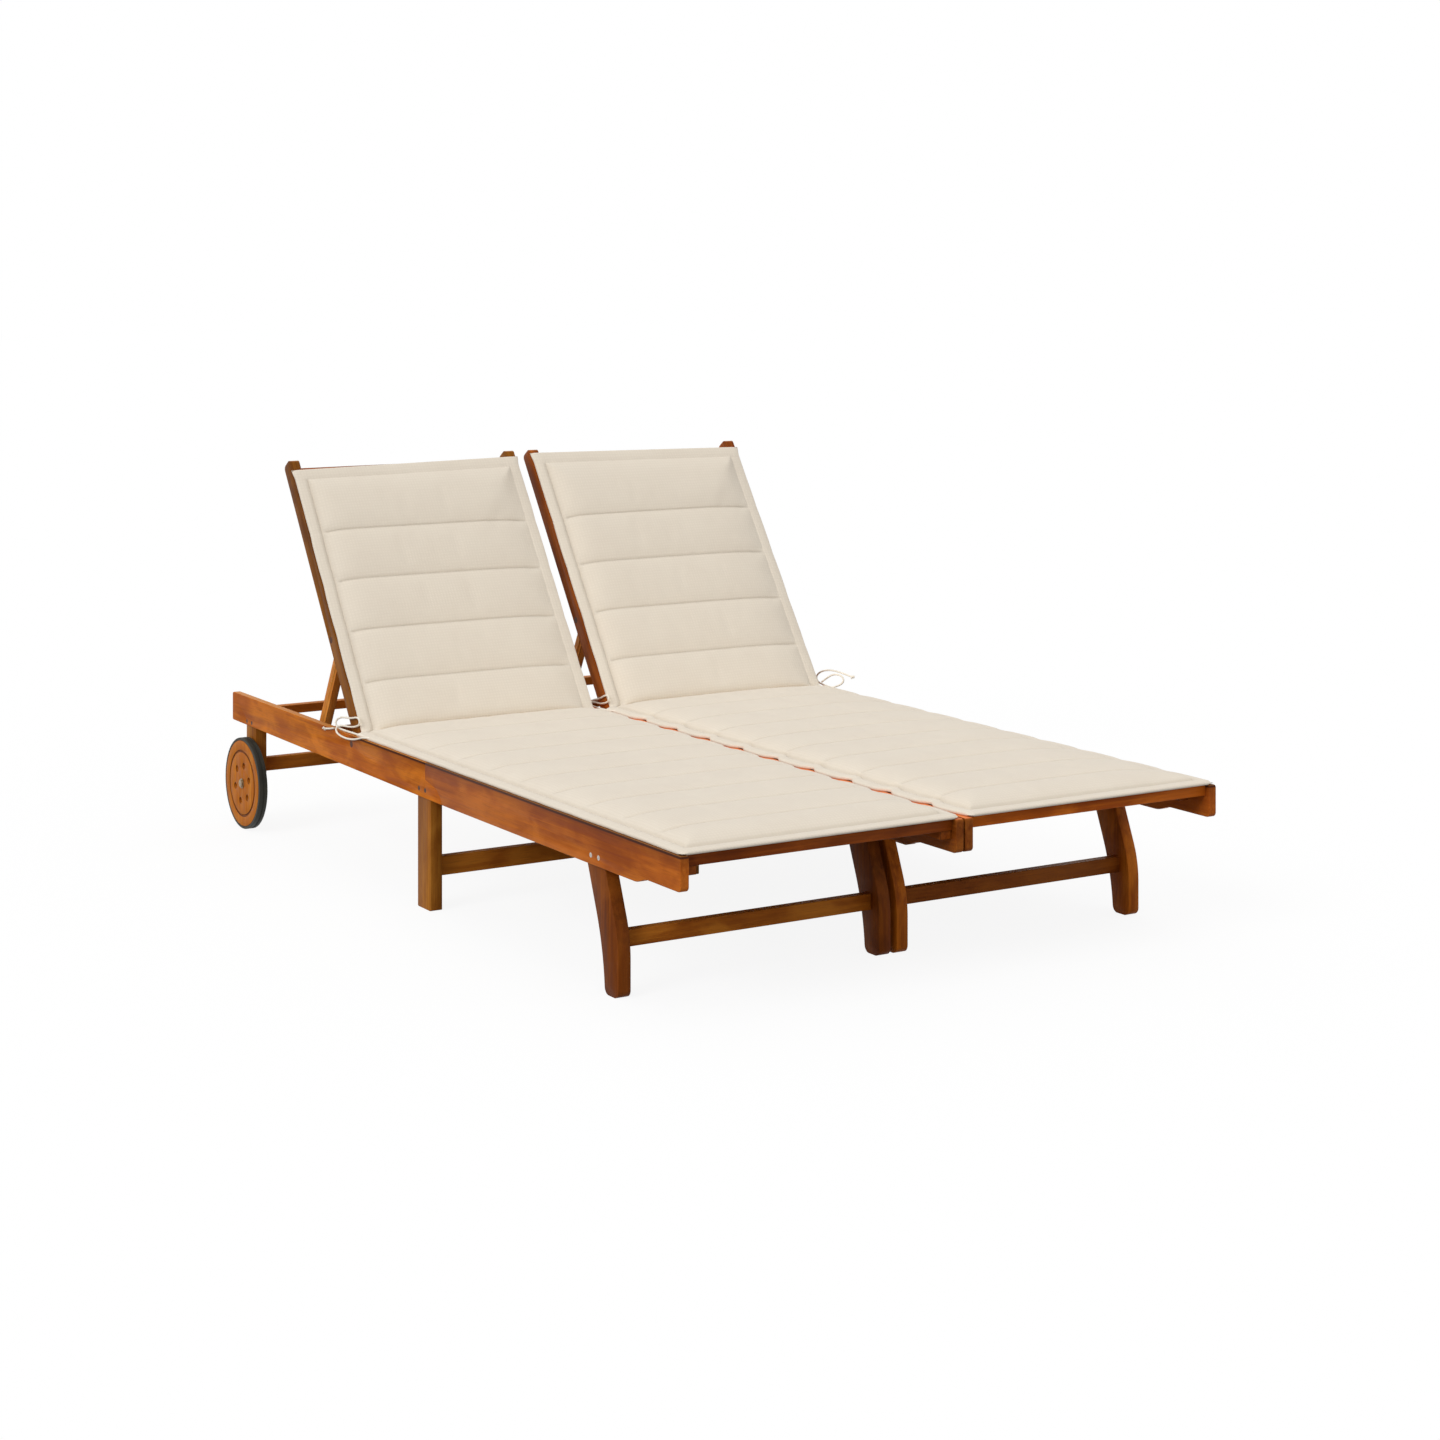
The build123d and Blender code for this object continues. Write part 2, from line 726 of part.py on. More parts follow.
# Bolts that carry the prop's arms on the stiles
pivot_y, pivot_z = prop_pivot(0)
for side_name, side in sides.items():
    with BuildPart() as prop_bolts:
        for end in ends.values():
            steps = (
                (stile_outer - bolt_head_depth, stile_outer, bolt_head_radius),
                (prop_inner - nut_play, stile_outer, bolt_radius),
                (stile_inner - collar_thickness, stile_inner, collar_radius),
                (prop_inner - nut_play - nut_height, prop_inner - nut_play, nut_radius),
            )
            add([cross_pin(side, end, pivot_y, pivot_z, near, far, radius) for near, far, radius in steps])
    prop_bolts.part.label = f"{side_name}_prop_bolts"
    export_step(prop_bolts.part, f"parts/{prop_bolts.part.label}.step")

# Cushions: a flat border round a quilted panel that swells between sewn channels and is
# drawn in at their ends. Each is one length folded at the backrest's hinge, so its seat
# and its back are separate pieces that meet at the fold.


def cushion(base, length, width, channels, draw, fold):
    """A cushion on a plane whose own y runs from the fold to the far end and z out of the cushion."""
    reach = width / 2
    panel_end = length - pad_border
    seams = [place for place in channels if place < panel_end - pad_border]
    across_plane = Plane(origin=base.origin, x_dir=base.x_dir, z_dir=-base.y_dir)
    along_plane = Plane(origin=base.origin, x_dir=base.y_dir, z_dir=base.x_dir)
    seam_height = pad_edge - pad_seam_drop
    inner = reach - pad_border
    shoulder = inner - pad_shoulder_run
    with BuildPart() as pad:
        with BuildSketch(base) as plan:
            with BuildLine():
                edge_places = [0, *seams, length]
                for way in (-1, 1):
                    for near, far in zip(edge_places, edge_places[1:]):
                        ThreePointArc(
                            (way * (reach - draw), near),
                            (way * reach, (near + far) / 2),
                            (way * (reach - draw), far),
                        )
                Line((draw - reach, 0), (reach - draw, 0))
                Line((draw - reach, length), (reach - draw, length))
            make_face()
            fillet(plan.vertices().group_by(Axis.Y)[-1], pad_corner)
        extrude(amount=pad_thickness + pad_crown)
        with BuildSketch(across_plane):
            with BuildLine():
                for way in (-1, 1):
                    outer = way * (reach - pad_edge_round)
                    Line((0, 0), (outer, 0))
                    nose = way * (reach + pad_edge_trim)
                    ThreePointArc((outer, 0), (nose, pad_edge / 2), (outer, pad_edge))
                    Line((outer, pad_edge), (way * inner, seam_height))
                    mid = (way * (inner + shoulder) / 2, (seam_height + 2 * pad_shoulder) / 3)
                    ThreePointArc((way * inner, seam_height), mid, (way * shoulder, pad_shoulder))
                crown = (0, pad_thickness + pad_crown)
                ThreePointArc((-shoulder, pad_shoulder), crown, (shoulder, pad_shoulder))
            make_face()
        extrude(amount=-length, mode=Mode.INTERSECT)
        with BuildSketch(along_plane):
            with BuildLine():
                Line((0, 0), (length - pad_edge_round, 0))
                ThreePointArc(
                    (length - pad_edge_round, 0),
                    (length, pad_edge / 2),
                    (length - pad_edge_round, pad_edge),
                )
                Line((length - pad_edge_round, pad_edge), (panel_end, seam_height))
                heights = [fold, *[pad_channel] * len(seams), seam_height]
                places = [0, *seams, panel_end]
                for number in range(len(places) - 1):
                    near, far = places[number], places[number + 1]
                    low = (near, heights[number])
                    high = (far, heights[number + 1])
                    ThreePointArc(low, ((near + far) / 2, pad_thickness), high)
                Line((0, fold), (0, 0))
            make_face()
        extrude(amount=reach, both=True, mode=Mode.INTERSECT)
    return pad.part


pad_plane_rise = back_front + pad_lift
fold_y = hinge_y + back_pad_start * back_cos - (pad_plane_rise + back_pad_crease) * back_sin - crease_gap
seat_pad_length = fold_y - foot_end - seat_pad_foot_gap
back_count = int(back_pad_length / back_pad_pitch)
back_channels = [number * back_pad_pitch - back_pad_start for number in range(1, back_count)]
seat_count = int(seat_pad_length / seat_pad_pitch)
seat_channels = [number * seat_pad_pitch for number in range(1, seat_count + 1)]
for side_name, side in sides.items():
    with BuildPart() as seat_pad:
        seat_origin = (side * lounger_middle, fold_y, rail_top + pad_lift)
        base = Plane(origin=seat_origin, x_dir=(-1, 0, 0), z_dir=(0, 0, 1))
        add(cushion(base, seat_pad_length, seat_pad_width, seat_channels, seat_pad_draw, seat_pad_crease))
    seat_pad.part.label = f"{side_name}_seat_pad"
    export_step(seat_pad.part, f"parts/{seat_pad.part.label}.step")
    with BuildPart() as back_pad:
        start_y = hinge_y + back_pad_start * back_cos - pad_plane_rise * back_sin
        start_z = hinge_z + back_pad_start * back_sin + pad_plane_rise * back_cos
        back_origin = (side * lounger_middle, start_y, start_z)
        base = Plane(origin=back_origin, x_dir=(1, 0, 0), z_dir=(0, -back_sin, back_cos))
        pad_reach = back_pad_length - back_pad_start
        add(cushion(base, pad_reach, back_pad_width, back_channels, back_pad_draw, back_pad_crease))
    back_pad.part.label = f"{side_name}_back_pad"
    export_step(back_pad.part, f"parts/{back_pad.part.label}.step")

# Ties sewn to the cushions' edges beside the fold, each a bow's loop and a loose tail.
# The points are the cords' routes as seen in the photograph.
tie_routes = {
    "left_outer_tie": (
        (
            (-586, 290, 297),
            (-587.5, 332, 296.5),
            (-589, 370, 296.4),
            (-590, 400, 296.5),
            (-590, 424, 299),
            (-586, 437, 307),
            (-581, 428, 316),
            (-578.5, 404, 319.5),
            (-577.6, 374, 321.5),
            (-577.6, 347, 328),
            (-577.6, 334, 325.5),
            (-577.6, 332, 315),
            (-578, 348, 308),
            (-581, 372, 304),
            (-587, 392, 304.5),
            (-593, 406, 303),
            (-597.5, 411, 295),
            (-598, 398, 287),
            (-598, 364, 284),
            (-597, 326, 286),
            (-596, 298, 292),
            (-593, 280, 297.5),
            (-586, 264, 297),
        ),
        ((-594.4, 426, 295), (-594.5, 450, 289.5), (-594.5, 476, 287)),
    ),
    "right_inner_tie": (
        (
            (8, 285, 297),
            (1, 308, 296.5),
            (-1, 345, 296.3),
            (0, 376, 296.5),
            (4, 396, 297),
            (10, 406, 300.5),
            (16, 396, 306),
            (17.4, 374, 311),
            (17.4, 348, 322.5),
            (17.4, 335, 323.5),
            (17.4, 329, 314.5),
            (17, 342, 306.5),
            (15, 366, 301.5),
            (8, 384, 304),
            (-3, 400, 301),
            (-7, 424, 296.4),
        ),
    ),
    "right_outer_tie": (
        (
            (586, 283, 297),
            (591, 318, 296.6),
            (594, 354, 297.5),
            (598, 380, 301),
            (601, 389, 311),
            (604, 376, 323),
            (606, 346, 331),
            (608, 306, 332),
            (611, 254, 326),
        ),
        (
            (586, 300, 298),
            (599, 299, 300),
            (606, 288, 307),
            (607, 283, 317),
            (606, 294, 325.5),
            (602, 318, 325),
            (598, 340, 314),
            (592, 352, 303),
        ),
    ),
}


def bend_radii(points):
    """The largest radius that each corner's two runs allow, as a share of the shorter run."""
    radii = []
    for before, corner, after in zip(points, points[1:], points[2:]):
        first = Vector(*corner) - Vector(*before)
        second = Vector(*after) - Vector(*corner)
        half_turn = radians(first.get_angle(second)) / 2
        radii.append(tie_bend_share * min(first.length, second.length) * cos(half_turn) / sin(half_turn))
    return radii


for tie_name, cords in tie_routes.items():
    with BuildPart() as tie:
        for points in cords:
            radii = bend_radii(points)
            with BuildPart(mode=Mode.PRIVATE) as cord:
                with BuildLine() as route:
                    FilletPolyline(*points, radius=radii)
                with BuildSketch(Plane(origin=route.wire() @ 0, z_dir=route.wire() % 0)):
                    RegularPolygon(tie_diameter / 2, tie_sides)
                sweep()
            add(cord.part)
            length = route.wire().length
            print(tie_name, "length", round(length, 1), "radii", [round(radius, 1) for radius in radii])
            print(tie_name, "volume share", round(cord.part.volume / length / tie_diameter**2, 3))
    tie.part.label = tie_name
    export_step(tie.part, f"parts/{tie_name}.step")
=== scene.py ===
import math

import bpy
import numpy as np
from mathutils import Matrix, Vector, noise


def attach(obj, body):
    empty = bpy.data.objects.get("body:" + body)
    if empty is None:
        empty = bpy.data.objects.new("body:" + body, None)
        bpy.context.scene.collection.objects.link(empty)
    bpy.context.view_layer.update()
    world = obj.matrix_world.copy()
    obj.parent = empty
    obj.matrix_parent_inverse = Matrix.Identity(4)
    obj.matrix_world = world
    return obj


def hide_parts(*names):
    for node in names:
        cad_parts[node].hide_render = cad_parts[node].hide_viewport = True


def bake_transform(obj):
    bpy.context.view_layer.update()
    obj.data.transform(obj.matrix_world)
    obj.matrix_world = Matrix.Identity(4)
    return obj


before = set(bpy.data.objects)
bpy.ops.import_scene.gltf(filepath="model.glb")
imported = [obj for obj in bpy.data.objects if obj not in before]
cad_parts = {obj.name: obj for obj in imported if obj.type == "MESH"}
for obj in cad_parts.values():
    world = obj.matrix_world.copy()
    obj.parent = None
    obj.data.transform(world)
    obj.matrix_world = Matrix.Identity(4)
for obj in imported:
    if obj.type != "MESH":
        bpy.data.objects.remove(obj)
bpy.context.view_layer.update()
bpy.context.scene.view_settings.view_transform = "Standard"

# Places shared with the frame, in metres
MIDDLE = 0.297
HINGE_Y, HINGE_Z = 0.342, 0.274
BACK_ANGLE = math.radians(55.2)
PROP_ANGLE = math.radians(62.4)
PAD_RISE = 0.0183
RAIL_TOP = 0.292
SIDES = {"left": -1, "right": 1}


def srgb(colour):
    """0 to 255 display values as the linear values that a shader takes."""
    found = []
    for value in colour:
        c = value / 255
        found.append(c / 12.92 if c <= 0.04045 else ((c + 0.055) / 1.055) ** 2.4)
    return (*found, 1.0)


# Camera and stage. The camera's numbers were solved from the photograph's straight edges.
WHITE = (1.0, 1.0, 1.0, 1.0)
FLOOR_GREY = (0.3, 0.3, 0.3, 1.0)
FLOOR_WHITE = (1.08, 1.08, 1.08, 1.0)
FLOOR_EVENNESS = 0.90
FLOOR_SIZE, FLOOR_DROP = 60, 0.0005
WORLD_LIGHT = 0.6
# name, way towards it, strength, and how many degrees it spreads over
LAMPS = (
    ("key", (-0.80, -0.22, 0.56), 1.2, 30),
    ("top", (0.10, -0.25, 0.96), 0.35, 45),
    ("front", (0.12, -0.97, 0.22), 0.11, 50),
)


def make_camera():
    data = bpy.data.cameras.new("camera")
    data.sensor_width = 36
    data.lens = 70.546
    data.shift_x = -0.0003
    data.shift_y = -0.33976
    data.clip_end = 60
    camera = bpy.data.objects.new("camera", data)
    camera.location = (-3.01688, -5.07431, 1.34445)
    camera.rotation_euler = (math.radians(90), 0, math.radians(-31.57))
    bpy.context.collection.objects.link(camera)
    bpy.context.scene.camera = camera


def only_seen(nodes, links, plain, seen):
    """Mixes in the second shader for camera, glossy and transmission rays."""
    path = nodes.new("ShaderNodeLightPath")
    first = nodes.new("ShaderNodeMath")
    first.operation = "MAXIMUM"
    links.new(path.outputs["Is Camera Ray"], first.inputs[0])
    links.new(path.outputs["Is Glossy Ray"], first.inputs[1])
    second = nodes.new("ShaderNodeMath")
    second.operation = "MAXIMUM"
    links.new(first.outputs[0], second.inputs[0])
    links.new(path.outputs["Is Transmission Ray"], second.inputs[1])
    mix = nodes.new("ShaderNodeMixShader")
    links.new(second.outputs[0], mix.inputs[0])
    links.new(plain.outputs[0], mix.inputs[1])
    links.new(seen.outputs[0], mix.inputs[2])
    return mix


def floor_finish():
    """White where it is seen, with a faint shadow, and pale grey to the light that it throws back."""
    material = bpy.data.materials.new("floor_white")
    material.use_nodes = True
    nodes, links = material.node_tree.nodes, material.node_tree.links
    nodes.remove(nodes["Principled BSDF"])
    plain = nodes.new("ShaderNodeBsdfDiffuse")
    plain.inputs["Color"].default_value = FLOOR_GREY
    shaded = nodes.new("ShaderNodeBsdfDiffuse")
    shaded.inputs["Color"].default_value = FLOOR_WHITE
    even = nodes.new("ShaderNodeEmission")
    even.inputs["Color"].default_value = WHITE
    seen = nodes.new("ShaderNodeMixShader")
    seen.inputs[0].default_value = FLOOR_EVENNESS
    links.new(shaded.outputs[0], seen.inputs[1])
    links.new(even.outputs[0], seen.inputs[2])
    mix = only_seen(nodes, links, plain, seen)
    links.new(mix.outputs[0], nodes["Material Output"].inputs["Surface"])
    return material


def make_stage():
    world = bpy.data.worlds.new("studio")
    bpy.context.scene.world = world
    world.use_nodes = True
    nodes, links = world.node_tree.nodes, world.node_tree.links
    plain = nodes["Background"]
    plain.inputs["Color"].default_value = WHITE
    plain.inputs["Strength"].default_value = WORLD_LIGHT
    seen = nodes.new("ShaderNodeBackground")
    seen.inputs["Color"].default_value = WHITE
    seen.inputs["Strength"].default_value = 1.0
    mix = only_seen(nodes, links, plain, seen)
    links.new(mix.outputs[0], nodes["World Output"].inputs["Surface"])

    bpy.ops.mesh.primitive_plane_add(size=FLOOR_SIZE, location=(0, 0, -FLOOR_DROP))
    floor = bpy.context.object
    floor.name = "floor"
    floor.data.materials.append(floor_finish())

    for name, way, strength, spread in LAMPS:
        data = bpy.data.lights.new(name, "SUN")
        data.energy = strength
        data.angle = math.radians(spread)
        lamp = bpy.data.objects.new(name, data)
        lamp.rotation_euler = Vector(way).to_track_quat("Z", "Y").to_euler()
        bpy.context.collection.objects.link(lamp)


# Node helpers
class Tree:
    """A material's node tree with short calls for the nodes that the finishes use."""

    def __init__(self, name):
        self.material = bpy.data.materials.new(name)
        self.material.use_nodes = True
        self.nodes = self.material.node_tree.nodes
        self.links = self.material.node_tree.links
        self.shader = self.nodes["Principled BSDF"]

    def join(self, source, target):
        self.links.new(source, target)

    def node(self, kind, **settings):
        made = self.nodes.new(kind)
        for key, value in settings.items():
            setattr(made, key, value)
        return made

    def put(self, socket, value):
        """A number, colour or vector is set on the socket, and an output is linked to it."""
        if isinstance(value, bpy.types.NodeSocket):
            self.join(value, socket)
        else:
            socket.default_value = value

    def coords(self, kind="Object"):
        return self.node("ShaderNodeTexCoord").outputs[kind]

    def parts(self, vector):
        split = self.node("ShaderNodeSeparateXYZ")
        self.join(vector, split.inputs[0])
        return split.outputs

    def turned(self, coords, turn):
        mapping = self.node("ShaderNodeMapping")
        mapping.inputs["Rotation"].default_value = turn
        self.join(coords, mapping.inputs["Vector"])
        return mapping.outputs["Vector"]

    def scaled(self, coords, scale, shift=(0, 0, 0)):
        mapping = self.node("ShaderNodeMapping")
        mapping.inputs["Scale"].default_value = scale
        self.put(mapping.inputs["Location"], shift)
        self.join(coords, mapping.inputs["Vector"])
        return mapping.outputs["Vector"]

    def noise(self, coords, scale, detail=4.0, rough=0.55, distort=0.0):
        made = self.node("ShaderNodeTexNoise")
        made.inputs["Scale"].default_value = scale
        made.inputs["Detail"].default_value = detail
        made.inputs["Roughness"].default_value = rough
        made.inputs["Distortion"].default_value = distort
        self.join(coords, made.inputs["Vector"])
        return made.outputs["Fac"]

    def bands(self, coords, way, scale, distort, detail, detail_scale=1.0):
        made = self.node("ShaderNodeTexWave", wave_type="BANDS", bands_direction=way)
        made.inputs["Scale"].default_value = scale
        made.inputs["Distortion"].default_value = distort
        made.inputs["Detail"].default_value = detail
        made.inputs["Detail Scale"].default_value = detail_scale
        self.join(coords, made.inputs["Vector"])
        return made.outputs["Fac"]

    def ramp(self, value, low, high, first=0.0, last=1.0):
        made = self.node("ShaderNodeMapRange", clamp=True)
        self.join(value, made.inputs["Value"])
        for key, number in (("From Min", low), ("From Max", high), ("To Min", first), ("To Max", last)):
            made.inputs[key].default_value = number
        return made.outputs["Result"]

    def math(self, what, *values):
        made = self.node("ShaderNodeMath", operation=what)
        for socket, value in zip(made.inputs, values):
            self.put(socket, value)
        return made.outputs[0]

    def mix(self, share, first, second, blend="MIX"):
        made = self.node("ShaderNodeMix", data_type="RGBA", blend_type=blend)
        self.put(made.inputs["Factor"], share)
        self.put(made.inputs[6], first)
        self.put(made.inputs[7], second)
        return made.outputs[2]

    def bump(self, height, strength, distance, under=None):
        made = self.node("ShaderNodeBump")
        made.inputs["Strength"].default_value = strength
        made.inputs["Distance"].default_value = distance
        self.join(height, made.inputs["Height"])
        if under is not None:
            self.join(under, made.inputs["Normal"])
        return made.outputs["Normal"]

    def finish(self, colour, rough, normal=None, **constants):
        self.put(self.shader.inputs["Base Color"], colour)
        self.put(self.shader.inputs["Roughness"], rough)
        if normal is not None:
            self.join(normal, self.shader.inputs["Normal"])
        for key, value in constants.items():
            self.shader.inputs[key.replace("_", " ")].default_value = value
        return self.material


# Finishes
# colour of the painted light on faces that look up
TOP_LIGHT_TONE = (216, 144, 70)
# colour of the painted shadow under the cushion's edge on the rails
EDGE_SHADOW_TONE = (56, 20, 5)
AGED_SCREW = ((64, 40, 22), (38, 24, 14))
# turns that lay a board's grain along X
TURNS = {
    "x": (0, 0, 0),
    "y": (0, 0, math.radians(-90)),
    "z": (0, math.radians(90), 0),
}
# boards along Y that lean, by how far they are turned back first
LEANS = {"back": BACK_ANGLE, "prop": -PROP_ANGLE}
# each seed takes its wood from another place in the pattern
SEED_SHIFT = (1.37, 0.73, 2.11)
ROW_SHIFT = (7.0, 5.0, 3.0)
PORE_SHARES = (0.35, 0.3, 0.3)
RIB_PITCH = 0.0069115


def own_boards(t, rows, coords, boards):
    """Moves each row of boards to its own place in the pattern. Also gives a number from 0 to 1 per row."""
    axis, pitch, start = boards
    number = t.math("FLOOR", t.math("DIVIDE", t.math("SUBTRACT", t.parts(rows)[axis], start), pitch))
    pick = t.node("ShaderNodeTexWhiteNoise", noise_dimensions="1D")
    t.join(number, pick.inputs["W"])
    moved = t.node("ShaderNodeVectorMath", operation="MULTIPLY_ADD")
    t.join(pick.outputs["Color"], moved.inputs[0])
    moved.inputs[1].default_value = ROW_SHIFT
    t.join(coords, moved.inputs[2])
    return moved.outputs[0], pick.outputs["Value"]


def painted_edge_shadow(t):
    """How dark the painted shadow under the cushion's edge is, at the top of a rail's side on the seat's
    part.
    """
    place = t.parts(t.coords())
    high = t.ramp(place[2], RAIL_TOP - 0.0060, RAIL_TOP - 0.0034, 0.0, 0.96)
    under = t.ramp(place[1], HINGE_Y - 0.03, HINGE_Y + 0.02, 1.0, 0.0)
    soft = t.ramp(place[2], RAIL_TOP - 0.026, RAIL_TOP, 0.0, 0.42)
    return t.math("MULTIPLY", t.math("MAXIMUM", high, soft), under)


def wood(name, tone, way, seed, boards=None, painted_top_light=0.35, rail=False, pale=TOP_LIGHT_TONE):
    """Oiled hardwood with its grain along way. Rows of boards are given as (axis number, pitch, start)."""
    light, middle, dark = (srgb(c) for c in tone)
    pore = (*(value * share for value, share in zip(dark, PORE_SHARES)), 1.0)
    t = Tree(name)
    rows = t.coords()
    if way in LEANS:
        rows = t.turned(rows, (-LEANS[way], 0, 0))
    coords = t.turned(rows, TURNS["y" if way in LEANS else way])
    tint = None
    if boards is not None:
        coords, tint = own_boards(t, rows, coords, boards)
    own = tuple(seed * shift for shift in SEED_SHIFT)
    figure = t.noise(t.scaled(coords, (1.1, 9.0, 9.0), own), 2.4, 5.0, 0.55, 0.8)
    streaks = t.noise(t.scaled(coords, (1.6, 60.0, 60.0), own), 2.0, 6.0, 0.62, 0.3)
    fibre = t.noise(t.scaled(coords, (9.0, 420.0, 420.0), own), 2.0, 3.0, 0.6)
    rings = t.bands(t.scaled(coords, (0.35, 3.2, 3.2), own), "Y", 9.0, 7.0, 3.0, 1.2)
    patches = t.noise(t.scaled(coords, (1.0, 2.0, 2.0), own), 1.7, 2.0, 0.5)
    blotches = t.noise(t.scaled(coords, (1.0, 2.2, 2.2), own), 8.0, 3.0, 0.5, 0.6)
    # each layer: pattern, its range, the tone's share at both ends of it, tone
    layers = (
        (figure, 0.36, 0.62, 0.0, 1.0, middle),
        (streaks, 0.44, 0.70, 0.0, 0.6, light),
        (streaks, 0.30, 0.44, 0.30, 0.0, dark),
        (rings, 0.55, 1.0, 0.0, 0.38, dark),
        (patches, 0.45, 0.72, 0.0, 0.55, light),
        (patches, 0.28, 0.44, 0.45, 0.0, dark),
        (blotches, 0.50, 0.66, 0.0, 0.55, light),
        (blotches, 0.34, 0.48, 0.55, 0.0, dark),
        (fibre, 0.36, 0.46, 0.24, 0.0, pore),
    )
    body = dark
    for pattern, low, high, first, last, layer_tone in layers:
        body = t.mix(t.ramp(pattern, low, high, first, last), body, layer_tone)
    if tint is not None:
        body = t.mix(t.ramp(tint, 0.0, 1.0, 0.0, 0.4), body, dark)
    # painted shadow: the top of a rail's side is darkened under the cushion's edge, a dark line with a softer
    # shade below it
    if rail:
        body = t.mix(painted_edge_shadow(t), body, srgb(EDGE_SHADOW_TONE))
    # painted light: faces that look up are made paler, as if lit from above
    upward = t.parts(t.coords("Normal"))[2]
    body = t.mix(t.ramp(upward, 0.75, 0.98, 0.0, painted_top_light), body, srgb(pale))
    rough = t.ramp(streaks, 0.3, 0.7, 0.46, 0.58)
    normal = t.bump(fibre, 0.22, 0.0004)
    normal = t.bump(streaks, 0.18, 0.0008, normal)
    return t.finish(body, rough, normal, Specular_IOR_Level=0.09)


def rubber(name):
    t = Tree(name)
    coords = t.coords()
    grain = t.noise(coords, 900.0, 3.0)
    dust = t.noise(coords, 22.0, 5.0)
    colour = t.mix(t.ramp(dust, 0.35, 0.75), srgb((34, 34, 27)), srgb((56, 54, 44)))
    normal = t.bump(grain, 0.25, 0.0004)
    return t.finish(colour, t.ramp(dust, 0.3, 0.7, 0.55, 0.72), normal, Specular_IOR_Level=0.45)


def metal(name, bright, dull, split=None, metallic=0.9, gloss=0.5):
    """Steel worn between two tones. With split, what lies behind that Y has the aged screws' tones."""
    t = Tree(name)
    coords = t.coords()
    wear = t.noise(coords, 260.0, 5.0)
    fine = t.noise(t.scaled(coords, (300.0, 1800.0, 1800.0)), 1.0, 3.0)
    colour = t.mix(t.ramp(wear, 0.35, 0.7), srgb(bright), srgb(dull))
    if split is not None:
        behind = t.math("GREATER_THAN", t.parts(coords)[1], split)
        aged = t.mix(t.ramp(wear, 0.3, 0.7), *(srgb(tone) for tone in AGED_SCREW))
        colour = t.mix(behind, colour, aged)
    rough = t.ramp(wear, 0.3, 0.7, 0.28, 0.5)
    normal = t.bump(fine, 0.15, 0.0002)
    return t.finish(colour, rough, normal, Metallic=metallic, Specular_IOR_Level=gloss)


def canvas(name):
    """Plain ribbed canvas, with painted shade near the seams. Each point of the mesh has its place on the
    cloth and its nearness to a seam.
    """
    t = Tree(name)
    cloth = t.node("ShaderNodeAttribute", attribute_name="cloth").outputs["Vector"]
    seam = t.node("ShaderNodeAttribute", attribute_name="seam").outputs["Fac"]
    # a band texture repeats each 2 pi / 20 of its scaled place
    bands_scale = 2 * math.pi / (20 * RIB_PITCH)
    across, along = (t.bands(cloth, way, bands_scale, 0.6, 1.0, 0.5) for way in ("X", "Y"))
    weave = t.math("MULTIPLY", across, along)
    slubs = t.noise(t.scaled(cloth, (40.0, 900.0, 1.0)), 1.0, 3.0)
    slubs = t.math("ADD", slubs, t.noise(t.scaled(cloth, (900.0, 40.0, 1.0)), 1.0, 3.0))
    mottle = t.noise(cloth, 9.0, 4.0, 0.6)
    colour = t.mix(t.ramp(mottle, 0.3, 0.7), srgb((236, 225, 208)), srgb((232, 220, 203)))
    colour = t.mix(t.ramp(slubs, 0.75, 1.35, 0.0, 0.5), colour, srgb((239, 229, 213)))
    colour = t.mix(t.ramp(weave, 0.0, 0.5, 0.09, 0.0), colour, srgb((190, 176, 152)))
    # painted shade: the cloth is darker near the seams and channels, as if shaded in their grooves
    colour = t.mix(t.ramp(seam, 0.0, 1.0, 0.0, 0.36), colour, srgb((194, 184, 168)))
    normal = t.bump(weave, 0.35, 0.0005)
    normal = t.bump(slubs, 0.14, 0.0006, normal)
    return t.finish(
        colour, 0.88, normal, Specular_IOR_Level=0.25, Sheen_Weight=0.18, Sheen_Roughness=0.5
    )


def tape(name):
    t = Tree(name)
    coords = t.coords()
    strands = t.bands(coords, "DIAGONAL", 260.0, 2.0, 2.0)
    fuzz = t.noise(coords, 1500.0, 3.0)
    colour = t.mix(strands, srgb((244, 234, 216)), srgb((254, 247, 234)))
    normal = t.bump(strands, 0.3, 0.0004)
    normal = t.bump(fuzz, 0.2, 0.0002, normal)
    return t.finish(colour, 0.9, normal, Specular_IOR_Level=0.2, Sheen_Weight=0.2)


# Tones as (light, middle, dark), in display values from 0 to 255
RAIL_TONE = ((216, 124, 44), (188, 96, 24), (142, 62, 9))
REAR_TONE = ((230, 136, 38), (206, 110, 22), (160, 76, 10))
# painted light and shade: the left and right front legs are a darker and a lighter copy of one wood, to match
# how light falls on them
LEG_TONES = {
    "left": ((154, 84, 22), (128, 60, 10), (84, 34, 3)),
    "right": ((214, 122, 32), (184, 96, 20), (134, 62, 8)),
}
MID_TONE = ((196, 130, 48), (174, 106, 30), (134, 74, 14))
BOARD_TONE = ((212, 132, 42), (182, 102, 24), (136, 66, 10))
DARK_BOARD_TONE = ((160, 90, 28), (132, 64, 14), (96, 40, 6))
EDGE_TONE = ((128, 70, 24), (104, 50, 14), (78, 34, 6))
# painted light: the right lounger's stiles, and the back slats that share their tones, are a lighter copy of
# the wood, to make up for the shade they stand in
STILE_TONES = {
    "left": ((160, 100, 26), (132, 76, 13), (96, 50, 4)),
    "right": ((186, 102, 34), (154, 76, 16), (112, 50, 8)),
}
